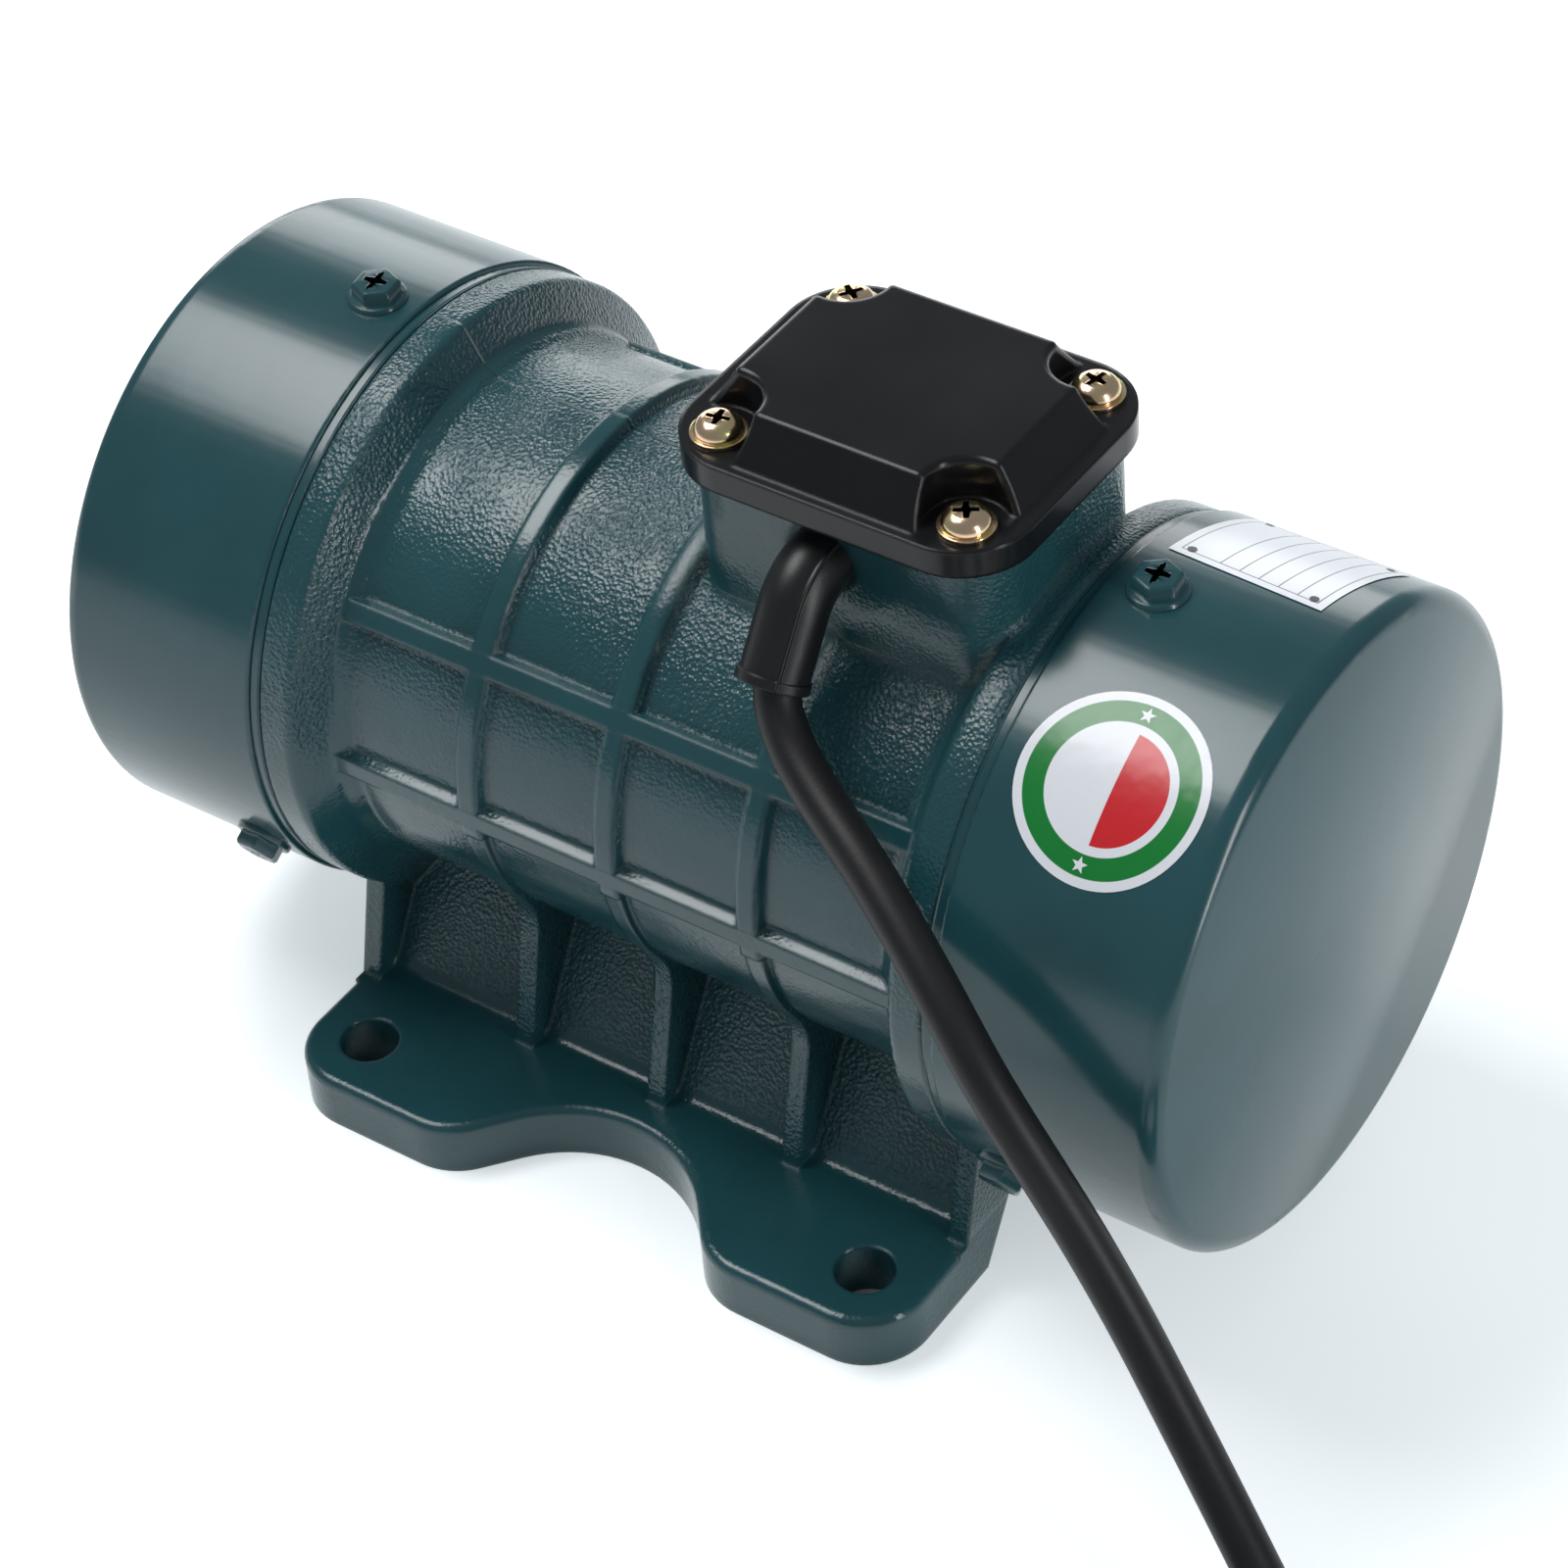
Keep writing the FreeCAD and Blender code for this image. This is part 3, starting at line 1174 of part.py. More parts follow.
def make_sleeve():
    """Rubber sleeve: a collar inside the box wall, a drooping tube and a lip round its mouth."""
    points = cable_points()[:MOUTH_POINT + 1]
    bore = (dim("cable_diameter") / 2 + dim("sleeve_fit")).value
    outer = (dim("sleeve_diameter") / 2).value
    lip = (dim("sleeve_mouth") / 2).value
    inner_wall = (dim("box_wall") - dim("box_depth") / 2).value
    tube, _ = swept_tube(points, outer)
    into_box = FreeCAD.Vector(0, 1, 0)
    collar_start = FreeCAD.Vector(points[0].x, inner_wall, points[0].z)
    collar = Part.makeCylinder(outer + 1.5, points[0].y - inner_wall, collar_start, into_box)
    along = (points[-1] - points[-2]).normalize()
    mouth = Part.makeCylinder(lip, 1.6, points[-1] - along * 1.6, along)
    opening, _ = swept_tube(points, bore)
    add_feature("cable_sleeve", tube.fuse([collar, mouth]).cut(opening))


def make_supply_cable():
    """The free stretch of the cable, and its tail from the coil's top turn to the plug."""
    radius = (dim("cable_diameter") / 2).value
    tube, radii = swept_tube(cable_points(), radius)
    print("cable bends, mm:", [round(bend) for bend in radii])
    onward = FreeCAD.Rotation(FreeCAD.Vector(0, 0, 1), PLUG_TURN).multVec(FreeCAD.Vector(1, 0, 0))
    tail_end = FreeCAD.Vector(*(size.value for size in plug_place()))
    tail = Part.makeCylinder(radius, TAIL_LENGTH, tail_end - onward * TAIL_LENGTH, onward)
    add_feature("supply_cable", Part.makeCompound([tube, tail]))


def coil_half_width():
    return COIL_TURNS_ACROSS / 2 * dim("cable_diameter")


def top_turn_z():
    return (dim("coil_layers") - 0.5) * dim("cable_diameter") + 0.1


def plug_place():
    """X, Y and Z where the plug's strain relief starts, past the point where the top turn leaves the coil."""
    along, across = math.cos(math.radians(PLUG_TURN)), math.sin(math.radians(PLUG_TURN))
    outer_turn = dim("coil_radius") + coil_half_width() - dim("cable_diameter") / 2
    x = COIL_CENTRE[0] + LAST_TURN_SLACK * along - across * outer_turn
    y = COIL_CENTRE[1] + LAST_TURN_SLACK * across + along * outer_turn
    return x, y, top_turn_z()


def make_cable_coil():
    """Outer shape of the stored turns."""
    body = new_body("cable_coil", x=COIL_CENTRE[0], y=COIL_CENTRE[1])
    profile = new_sketch(body, "XZ_Plane", "profile")
    inner = dim("coil_radius") - coil_half_width()
    outer = dim("coil_radius") + coil_half_width()
    top = dim("coil_layers") * dim("cable_diameter") + 0.2
    draw_loop(profile, [(inner, as_size(0)), (outer, as_size(0), 2.5), (outer, top, 2.5), (inner, top, 2.5)])
    spin(body, profile, axis="V_Axis")


def plug_body_at(name):
    """A body whose X axis is the plug's, pointing from the cable to the pins."""
    x, y, z = plug_place()
    return new_body(name, PLUG_TURN, x=x, y=y, z=z)


def make_plug():
    """Moulded two-pin plug with side earth contacts and a tapered strain relief."""
    body = plug_body_at("plug_body")
    relief = dim("plug_relief")
    half = dim("plug_width") / 2
    back = relief + dim("plug_length")
    neck = new_sketch(body, "YZ_Plane", "neck")
    draw_circle(neck, 0, 0, dim("cable_diameter") / 2 + 0.6)
    shoulder = new_sketch(body, "YZ_Plane", "shoulder", relief)
    draw_circle(shoulder, 0, 0, dim("cable_diameter") / 2 + 3)
    cone = body.newObject("PartDesign::AdditiveLoft", "plug_relief")
    cone.Profile = neck
    cone.Sections = [shoulder]
    body.Tip = cone
    low = -top_turn_z() + 0.1
    section = new_sketch(body, "YZ_Plane", "section", relief)
    draw_loop(section, [(-half, low, 7), (half, low, 7), (half, low + dim("plug_thickness"), 7),
                        (-half, low + dim("plug_thickness"), 7)])
    extrude(body, section, dim("plug_length"))
    round_edges(body, 2, lambda edge: edge.BoundBox.XMin > back.value - 0.01)
    pins = plug_body_at("plug_pins")
    ends = new_sketch(pins, "YZ_Plane", "ends", back)
    for side in (-1, 1):
        draw_circle(ends, side * dim("pin_pitch") / 2, low + dim("plug_thickness") / 2, dim("pin_radius"))
    extrude(pins, ends, dim("pin_length"))
    earth = plug_body_at("plug_earth_contacts")
    strips = new_sketch(earth, "XZ_Plane", "strips")
    top = low + dim("plug_thickness")
    front = back - dim("earth_strip_inset")
    rear = front - dim("earth_strip_length")
    face = top + dim("earth_strip_rise")
    draw_loop(strips, [(rear, top), (front, top), (front, face), (rear, face)])
    extrude(earth, strips, dim("earth_strip_width"), both=True)


def make_core_wires():
    """Three insulated cores from the cable's cut end to the terminal block."""
    radius = (dim("core_wire") / 2).value
    entry = cable_points()[0]
    front = -(dim("terminal_depth") / 2).value
    level = (HEIGHT + dim("box_floor") + dim("terminal_height") / 2).value
    wires = []
    for number in (-1, 0, 1):
        target = pole_x(number).value
        start = entry + FreeCAD.Vector(number * (radius + 0.1) * 2, 0, 0)
        points = [start, start + FreeCAD.Vector(0, 3, 0), FreeCAD.Vector(target, front - 3, level),
                  FreeCAD.Vector(target, front + 2, level)]
        wires.append(swept_tube(points, radius)[0])
    add_feature("core_wires", Part.makeCompound(wires))


# ---- build ---------------------------------------------------------------------------------

def build():
    """Make every sub-part and return the objects that are written out."""
    make_housing()
    for name, turn in SIDES.items():
        make_end_shield(name, turn)
        make_shield_screws(name, turn)
        make_cover(name, turn)
        make_cover_screws(name, turn)
        make_race(f"bearing_outer_{name}", turn, dim("outer_race_land"), dim("bearing_radius"))
        make_race(f"bearing_inner_{name}", turn, dim("journal_radius") + FIT, dim("inner_race_land"))
        make_cage(f"bearing_cage_{name}", turn)
        make_balls(f"bearing_balls_{name}", 1 if turn == 0 else -1)
        make_weight(f"weight_inner_{name}", turn, 0)
        make_weight(f"weight_outer_{name}", turn, 1)
        make_clamp_bolt(f"weight_bolt_{name}", turn, 1)
    make_clamp_bolt("weight_bolts_inner", 0, 0, both_ends=True)
    seat = dim("bearing_radius") + FIT
    make_clip("bearing_circlips", bearing_end(1) + FIT / 2, seat - 2.5, seat + dim("circlip_depth") - 0.1)
    root = dim("weight_seat_radius") - dim("circlip_depth")
    make_clip("shaft_circlips", weight_face(1, 1) + dim("shaft_clip_gap") + FIT / 2, root + 0.1, root + 4)
    make_stator_core()
    make_stator_windings()
    make_rotor_core()
    make_rotor_end_rings()
    make_shaft()
    make_shaft_keys()
    make_box_gasket()
    make_box_lid()
    make_lid_washers()
    make_lid_screws()
    make_terminal_block()
    make_terminal_screws()
    make_earth_screw()
    make_capacitor()
    make_sleeve()
    make_supply_cable()
    make_core_wires()
    make_cable_coil()
    make_plug()


def written_parts():
    """Bodies, ball groups and free features: everything that is a sub-part of its own."""
    kinds = ("PartDesign::Body", "Part::Compound", "Part::Feature")
    return [item for item in document.Objects if item.TypeId in kinds]


build()
document.recompute()
for item in document.Objects:
    if "Invalid" in item.State or "Error" in item.State:
        raise RuntimeError(f"{item.Name} failed: {item.State} {item.getStatusString()}")
os.makedirs("parts", exist_ok=True)
for item in written_parts():
    if item.Shape.isNull() or not item.Shape.isValid():
        raise RuntimeError(f"{item.Label} has no valid shape")
    item.Shape.exportStep(os.path.join("parts", f"{item.Label}.step"))
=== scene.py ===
# %% [markdown]
# # A foot-mounted vibration motor
# The motor is a ribbed iron casting with four feet. Each end of its shaft carries unbalance
# weights under a drawn steel cover, and the supply cable leaves a terminal box on its top.
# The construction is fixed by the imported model, so this lesson adds what a maker sees: enamel
# over a sand-cast skin, screw recesses, labels, the cable, a camera and soft studio light.
# Everything is in metres in the model's own frame: X along the shaft, Z up from the feet.

import json
import math

import bmesh
import bpy
from mathutils import Matrix, Vector


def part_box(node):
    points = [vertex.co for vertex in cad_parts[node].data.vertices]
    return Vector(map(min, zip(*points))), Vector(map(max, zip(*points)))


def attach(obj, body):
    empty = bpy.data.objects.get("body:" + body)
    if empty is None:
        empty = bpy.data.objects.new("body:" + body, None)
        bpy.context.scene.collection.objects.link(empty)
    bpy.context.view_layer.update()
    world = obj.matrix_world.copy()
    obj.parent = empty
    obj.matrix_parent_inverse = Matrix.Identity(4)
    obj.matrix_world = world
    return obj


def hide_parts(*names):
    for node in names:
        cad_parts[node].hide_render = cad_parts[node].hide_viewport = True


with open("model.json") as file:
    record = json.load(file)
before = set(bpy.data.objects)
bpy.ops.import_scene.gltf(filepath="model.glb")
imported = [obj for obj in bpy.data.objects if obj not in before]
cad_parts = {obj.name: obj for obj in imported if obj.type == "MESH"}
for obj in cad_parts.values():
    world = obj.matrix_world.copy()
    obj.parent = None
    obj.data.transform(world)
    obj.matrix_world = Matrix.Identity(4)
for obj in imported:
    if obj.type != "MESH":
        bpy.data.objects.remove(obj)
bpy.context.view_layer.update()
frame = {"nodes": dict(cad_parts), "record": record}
nodes = frame["nodes"]
MM = 0.001

# %% [markdown]
# The view is set up first, because the cable has to be judged in it. A long lens far away
# keeps the shaft and the feet nearly parallel, as on a catalogue picture. The camera stands
# at the front right, well above the motor, and is tipped a little anticlockwise.

# %% Camera
CAMERA_PLACE = Vector((366.1, -469.7, 586.5)) * MM
AZIMUTH, ELEVATION, ROLL = (math.radians(angle) for angle in (37.90, 42.09, -5.10))
LENS, SENSOR_WIDTH = 112.24, 36

back = Vector((
    math.sin(AZIMUTH) * math.cos(ELEVATION),
    -math.cos(AZIMUTH) * math.cos(ELEVATION),
    math.sin(ELEVATION),
))
level = Vector((math.cos(AZIMUTH), math.sin(AZIMUTH), 0))
right = math.cos(ROLL) * level + math.sin(ROLL) * back.cross(level)
upward = back.cross(right)

camera = bpy.data.objects.new("camera", bpy.data.cameras.new("camera"))
camera.data.lens = LENS
camera.data.sensor_width = SENSOR_WIDTH
camera.matrix_world = Matrix((
    (right.x, upward.x, back.x, CAMERA_PLACE.x),
    (right.y, upward.y, back.y, CAMERA_PLACE.y),
    (right.z, upward.z, back.z, CAMERA_PLACE.z),
    (0, 0, 0, 1),
))
bpy.context.scene.collection.objects.link(camera)
bpy.context.scene.camera = camera
print("camera at", [round(value, 3) for value in camera.location])

# %% [markdown]
# The cable is a rubber-sheathed lead of 1.3 m. It drops out of its sleeve, swings past the
# right cover and reaches the floor, and its unused length is wound into a flat coil of two
# layers with the plug beside it. One NURBS spline holds all of it: the points are the ones
# that a hand would peg the cable to, and the spline keeps every bend soft between them.

# %% Cable route
CABLE_DIAMETER = 7.4 * MM
LAYER_HEIGHTS = (3.8 * MM, 11.2 * MM)
FREE_RUN = [
    (27.5, -14.9, 123), (27.5, -26, 123), (27.5, -35.5, 109.3), (32.5, -39.5, 103.2), (41, -44, 99.3),
    (53.5, -50, 95.5), (64.5, -55.8, 90.8), (73.3, -60.3, 86), (80.5, -63.6, 80.5), (86.5, -65.2, 74.5),
    (92.3, -65.8, 67.3), (100, -66.4, 57), (109.2, -68.3, 45.5), (118.3, -71.4, 35.2), (127, -75, 27),
    (136.5, -79.6, 19.5), (148.5, -85.7, 10.5), (160, -91.3, 5.2), (169, -95.7, 3.8),
]
SLEEVE_MOUTH = Vector(FREE_RUN[2]) * MM
COIL_CENTRE = Vector((148.4, -137.5)) * MM
OUTER_TURN, INNER_TURN = 46.5 * MM, 30.1 * MM
COIL_START, COIL_END = math.radians(63.8), math.radians(-105 - 4 * 360)
POINTS_PER_TURN = 16
TAIL = 28 * MM

route = [Vector(point) * MM for point in FREE_RUN]
steps = round((COIL_START - COIL_END) / math.tau * POINTS_PER_TURN)
for step in range(1, steps + 1):
    share = step / steps
    angle = COIL_START + (COIL_END - COIL_START) * share
    inward = 1 - abs(1 - 2 * share)
    radius = OUTER_TURN + (INNER_TURN - OUTER_TURN) * inward
    climb = min(max((share - 0.5) * steps / 6 + 0.5, 0), 1)
    height = LAYER_HEIGHTS[0] + (LAYER_HEIGHTS[1] - LAYER_HEIGHTS[0]) * climb
    route.append(Vector((
        COIL_CENTRE.x + radius * math.cos(angle),
        COIL_CENTRE.y + radius * math.sin(angle),
        height,
    )))
leaving = Vector((math.sin(COIL_END), -math.cos(COIL_END), 0))
last = route[-1]
route += [last + leaving * TAIL * part for part in (0.35, 0.7, 1.0)]
print("cable points:", len(route))

# %% The cable as one spline
cable_curve = bpy.data.curves.new("supply_cord", "CURVE")
cable_curve.dimensions = "3D"
cable_curve.bevel_depth = 1
cable_curve.bevel_resolution = 6
cable_curve.use_fill_caps = True
spline = cable_curve.splines.new("NURBS")
spline.points.add(len(route) - 1)
for point, place in zip(spline.points, route):
    point.co = (*place, 1)
    point.radius = CABLE_DIAMETER / 2
spline.order_u = 3
spline.use_endpoint_u = True
spline.resolution_u = 6
cable = bpy.data.objects.new("supply_cord", cable_curve)
bpy.context.scene.collection.objects.link(cable)

path_curve = cable_curve.copy()
path_curve.bevel_depth = 0
path_object = bpy.data.objects.new("cable_line", path_curve)
path_mesh = bpy.data.meshes.new_from_object(path_object)
bpy.data.objects.remove(path_object)
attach(cable, "root")
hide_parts("supply_cable", "cable_coil")

# %% [markdown]
# ## Node helpers
# Every finish is a small node tree. A helper that adds one node and wires its inputs keeps
# the trees readable, and two more wrap the sums and soft steps that masks are made of.

# %% Node helpers
def add_node(tree, kind, inputs=None, **settings):
    """One node; inputs maps a socket name or number to a value or to another node's output."""
    made = tree.nodes.new(kind)
    for key, value in settings.items():
        setattr(made, key, value)
    for key, value in (inputs or {}).items():
        if isinstance(value, bpy.types.NodeSocket):
            tree.links.new(value, made.inputs[key])
        else:
            made.inputs[key].default_value = value
    return made


def maths(tree, operation, *values):
    """A Math node's output."""
    return add_node(tree, "ShaderNodeMath", dict(enumerate(values)), operation=operation).outputs[0]


def soft_step(tree, value, low, high):
    """0 below low, 1 above high, smooth between them."""
    made = add_node(tree, "ShaderNodeMapRange", {"Value": value, "From Min": low, "From Max": high},
                    interpolation_type="SMOOTHSTEP")
    return made.outputs["Result"]


def new_material(name):
    """An empty node material, with its tree, a Principled BSDF and the output."""
    material = bpy.data.materials.new(name)
    material.use_nodes = True
    tree = material.node_tree
    shader = tree.nodes["Principled BSDF"]
    return material, tree, shader


print("node helpers ready")

# %% [markdown]
# ## Studio
# The motor stands on a white table. The floor takes the soft shadow, and a little of its own
# light for the camera and for reflections keeps it white, so no lamp has to be turned up.
# Under the four foot holes that light is left out, which paints shade on the floor seen through them.

# %% Floor
FLOOR_HALF = 3.0
FLOOR_ALBEDO = (0.86, 0.86, 0.86, 1)
FLOOR_GLOW = 0.5
FLOOR_GLOW_COLOUR = (0.90, 0.97, 1.0, 1)
HOLE_HALF_X, HOLE_HALF_Y = 50 * MM, 54 * MM
HOLE_DARK, HOLE_LIT = 6.5 * MM, 9.5 * MM

floor_mesh = bpy.data.meshes.new("floor")
builder = bmesh.new()
bmesh.ops.create_grid(builder, x_segments=1, y_segments=1, size=FLOOR_HALF)
builder.to_mesh(floor_mesh)
builder.free()
floor = bpy.data.objects.new("floor", floor_mesh)
bpy.context.scene.collection.objects.link(floor)

floor_material, tree, shader = new_material("white_table")
shader.inputs["Base Color"].default_value = FLOOR_ALBEDO
shader.inputs["Roughness"].default_value = 0.9
shader.inputs["Specular IOR Level"].default_value = 0.0
path = add_node(tree, "ShaderNodeLightPath")
seen = maths(tree, "MAXIMUM", path.outputs["Is Camera Ray"], path.outputs["Is Glossy Ray"])
seen = maths(tree, "MAXIMUM", seen, path.outputs["Is Transmission Ray"])
place = add_node(tree, "ShaderNodeSeparateXYZ", {
    "Vector": add_node(tree, "ShaderNodeTexCoord").outputs["Object"]})
# Painted shade: near each foot hole the glow fades to nothing, so the floor seen through the hole stays
# dark.
off_hole = [maths(tree, "SUBTRACT", maths(tree, "ABSOLUTE", place.outputs[axis]), middle)
            for axis, middle in (("X", HOLE_HALF_X), ("Y", HOLE_HALF_Y))]
away = maths(tree, "SQRT", maths(tree, "ADD", maths(tree, "MULTIPLY", off_hole[0], off_hole[0]),
                                 maths(tree, "MULTIPLY", off_hole[1], off_hole[1])))
glow_outside_hole_shade = soft_step(tree, away, HOLE_DARK, HOLE_LIT)
strength = maths(tree, "MULTIPLY", maths(tree, "MULTIPLY", seen, glow_outside_hole_shade), FLOOR_GLOW)
glow = add_node(tree, "ShaderNodeEmission", {"Color": FLOOR_GLOW_COLOUR, "Strength": strength})
both = add_node(tree, "ShaderNodeAddShader", {0: shader.outputs[0], 1: glow.outputs[0]})
tree.links.new(both.outputs[0], tree.nodes["Material Output"].inputs["Surface"])
floor_mesh.materials.append(floor_material)
print("floor:", floor.name)

# %% [markdown]
# Three softboxes and a pale sky light the motor. The key hangs high over the left end, where
# its reflection lies along the shoulders of the barrel. A broad panel behind pales the upper
# edges, and a narrow one far right draws the bright line down the rim of the near cover.

# %% Lights
LIGHT_TARGET = Vector((0, 0, 67)) * MM
LAMPS = (
    # name, direction from the motor, distance, size, power
    ("key_softbox", (-0.45, -0.05, 0.88), 1.3, (0.72, 0.58), 11.0),
    ("rim_softbox", (0.95, -0.15, 0.30), 1.2, (0.12, 0.9), 5.0),
    ("back_softbox", (-0.60, 0.76, 0.26), 1.5, (1.3, 0.6), 8.0),
)
SKY = (0.82, 0.92, 1.0, 1)
SKY_STRENGTH = 0.3

for name, direction, distance, (width, height), power in LAMPS:
    lamp = bpy.data.lights.new(name, "AREA")
    lamp.shape = "RECTANGLE"
    lamp.size, lamp.size_y = width, height
    lamp.energy = power
    lamp_object = bpy.data.objects.new(name, lamp)
    toward = Vector(direction).normalized()
    lamp_object.location = LIGHT_TARGET + toward * distance
    lamp_object.rotation_mode = "QUATERNION"
    lamp_object.rotation_quaternion = (-toward).to_track_quat("-Z", "Y")
    bpy.context.scene.collection.objects.link(lamp_object)

world = bpy.data.worlds.new("sky")
world.use_nodes = True
world.node_tree.nodes["Background"].inputs["Color"].default_value = SKY
world.node_tree.nodes["Background"].inputs["Strength"].default_value = SKY_STRENGTH
bpy.context.scene.world = world
bpy.context.scene.view_settings.view_transform = "Standard"
print("lamps:", [lamp[0] for lamp in LAMPS])

# %% [markdown]
# ## Finishes
# A pattern that several finishes share is a node group, built once: the groups here give a
# height to the Bump node or a mask between 0 and 1.

# %% Node groups
def new_group(name, inputs, outputs):
    """A shader node group with float or vector inputs; returns it with its two end nodes."""
    group = bpy.data.node_groups.new(name, "ShaderNodeTree")
    for socket, kind, value in inputs:
        made = group.interface.new_socket(socket, in_out="INPUT", socket_type=kind)
        if value is not None:
            made.default_value = value
    for socket, kind in outputs:
        group.interface.new_socket(socket, in_out="OUTPUT", socket_type=kind)
    return group, group.nodes.new("NodeGroupInput"), group.nodes.new("NodeGroupOutput")


def use_group(tree, group, inputs):
    return add_node(tree, "ShaderNodeGroup", inputs, node_tree=group)


print("helpers ready")

# %% [markdown]
# Sand leaves a grainy skin on iron, and enamel fills it to a pebbled gloss. The grain is fine
# noise with small smooth pits, and under it the surface waves a little, as brushed-on enamel
# does. The grain's strength is an input, because ribs and corners fill up smoother than the
# floors between them.

# %% Cast skin group
FLOAT, VECTOR = "NodeSocketFloat", "NodeSocketVector"
cast_skin, given, result = new_group(
    "cast_skin",
    (("Vector", VECTOR, None), ("Grain", FLOAT, 1.0), ("Wave", FLOAT, 0.4)),
    (("Height", FLOAT),),
)
grain = add_node(cast_skin, "ShaderNodeTexNoise", {
    "Vector": given.outputs["Vector"], "Scale": 1500.0, "Detail": 3.0, "Roughness": 0.65})
pits = add_node(cast_skin, "ShaderNodeTexVoronoi", {
    "Vector": given.outputs["Vector"], "Scale": 1450.0, "Smoothness": 0.4}, feature="SMOOTH_F1")
wave = add_node(cast_skin, "ShaderNodeTexNoise", {
    "Vector": given.outputs["Vector"], "Scale": 130.0, "Detail": 1.0, "Roughness": 0.4})
patches = add_node(cast_skin, "ShaderNodeTexNoise", {
    "Vector": given.outputs["Vector"], "Scale": 45.0, "Detail": 2.0})
patchy = soft_step(cast_skin, patches.outputs["Fac"], 0.30, 0.62)
rough = maths(cast_skin, "ADD",
              maths(cast_skin, "MULTIPLY", grain.outputs["Fac"], 0.6),
              maths(cast_skin, "MULTIPLY", pits.outputs["Distance"], 0.8))
rough = maths(cast_skin, "MULTIPLY", rough, given.outputs["Grain"])
rough = maths(cast_skin, "MULTIPLY", rough, maths(cast_skin, "MULTIPLY_ADD", patchy, 0.6, 0.4))
waving = maths(cast_skin, "MULTIPLY", wave.outputs["Fac"], given.outputs["Wave"])
cast_skin.links.new(maths(cast_skin, "ADD", rough, waving), result.inputs["Height"])
print("group:", cast_skin.name)

# %% [markdown]
# Two thin lines run over the motor: the seam of the mould along the top of the casting, and
# the joints where an end shield meets it. Both are bumps at a place, so one group makes them:
# a soft ridge around a chosen coordinate.

# %% Line ridge group
line_ridge, given, result = new_group(
    "line_ridge",
    (("Place", FLOAT, 0.0), ("Middle", FLOAT, 0.0), ("Half Width", FLOAT, 0.0003)),
    (("Mask", FLOAT),),
)
offset = maths(line_ridge, "ABSOLUTE",
               maths(line_ridge, "SUBTRACT", given.outputs["Place"], given.outputs["Middle"]))
share = maths(line_ridge, "DIVIDE", offset, given.outputs["Half Width"])
line_ridge.links.new(soft_step(line_ridge, share, 1.0, 0.0), result.inputs["Mask"])
print("group:", line_ridge.name)

# %% [markdown]
# ### Enamel
# The motor is sprayed all over in dark blue-green enamel, screws and all. The drawn covers
# take it smooth; the casting keeps its grain, strongest on the floors between the ribs, on
# the flange slopes and on the webs. Rounding of the sharp model edges is left to the Bevel
# node, as a coat of paint rounds them: it bends the normal near an edge.

# %% Enamel colours and casting zones
ENAMEL = (0.0160, 0.0750, 0.0870, 1)
ENAMEL_DEEP = (0.0125, 0.0610, 0.0710, 1)
AXIS_HEIGHT = 67 * MM
RIB_TOP, PANEL_FLOOR = 46.6 * MM, 45.6 * MM
SEAM_OFFSET = 1.5 * MM
JOINT_PLACE = 63.5 * MM
CAST_EDGE, BOX_FILLET = 1.1 * MM, 3.4 * MM
END_DOME_RADIUS = 210 * MM
CAST_DEPTH, PEEL_DEPTH = 0.28 * MM, 0.12 * MM
CAST_ROUGHNESS, SMOOTH_ROUGHNESS = 0.16, 0.2


def rounded_normal(tree, radius, height=None, distance=0.0, strength=1.0):
    """The normal near edges bent over a radius, with an optional bump on top."""
    bent = add_node(tree, "ShaderNodeBevel", {"Radius": radius}, samples=6).outputs["Normal"]
    if height is None:
        return bent
    bump = add_node(tree, "ShaderNodeBump", {
        "Height": height, "Distance": distance, "Strength": strength, "Normal": bent})
    return bump.outputs["Normal"]


def place_of(tree):
    """Object coordinates and their X, Y and Z."""
    coordinates = add_node(tree, "ShaderNodeTexCoord").outputs["Object"]
    apart = add_node(tree, "ShaderNodeSeparateXYZ", {"Vector": coordinates})
    return coordinates, apart.outputs["X"], apart.outputs["Y"], apart.outputs["Z"]


def mix_colours(tree, factor, first, second):
    """A colour mix's output."""
    mixed = tree.nodes.new("ShaderNodeMix")
    mixed.data_type = "RGBA"
    for number, value in ((0, factor), (6, first), (7, second)):
        if isinstance(value, bpy.types.NodeSocket):
            tree.links.new(value, mixed.inputs[number])
        else:
            mixed.inputs[number].default_value = value
    return mixed.outputs[2]


def enamel_clouds(tree, coordinates):
    """Base colour with the slight clouding of sprayed paint."""
    cloud = add_node(tree, "ShaderNodeTexNoise", {"Vector": coordinates, "Scale": 35.0, "Detail": 3.0})
    return mix_colours(tree, soft_step(tree, cloud.outputs["Fac"], 0.35, 0.65), ENAMEL_DEEP, ENAMEL)


# %% Enamel on the casting
casting_enamel, tree, shader = new_material("casting_enamel")
coordinates, x, y, z = place_of(tree)
above_axis = maths(tree, "SUBTRACT", z, AXIS_HEIGHT)
radius = maths(tree, "SQRT", maths(tree, "ADD", maths(tree, "MULTIPLY", y, y),
                                   maths(tree, "MULTIPLY", above_axis, above_axis)))
along = maths(tree, "ABSOLUTE", x)
on_floor = soft_step(tree, radius, RIB_TOP, PANEL_FLOOR)
high = soft_step(tree, z, 78 * MM, 100 * MM)
panel_grain = maths(tree, "MULTIPLY", on_floor, maths(tree, "MULTIPLY_ADD", high, 0.75, 0.22))
slope_grain = maths(tree, "MULTIPLY", soft_step(tree, radius, 46.5 * MM, 47.5 * MM),
                    maths(tree, "MULTIPLY", soft_step(tree, along, 53 * MM, 55 * MM),
                          soft_step(tree, z, 64 * MM, 80 * MM)))
web_grain = maths(tree, "MULTIPLY", soft_step(tree, z, 52 * MM, 44 * MM),
                  soft_step(tree, z, 10 * MM, 13 * MM))
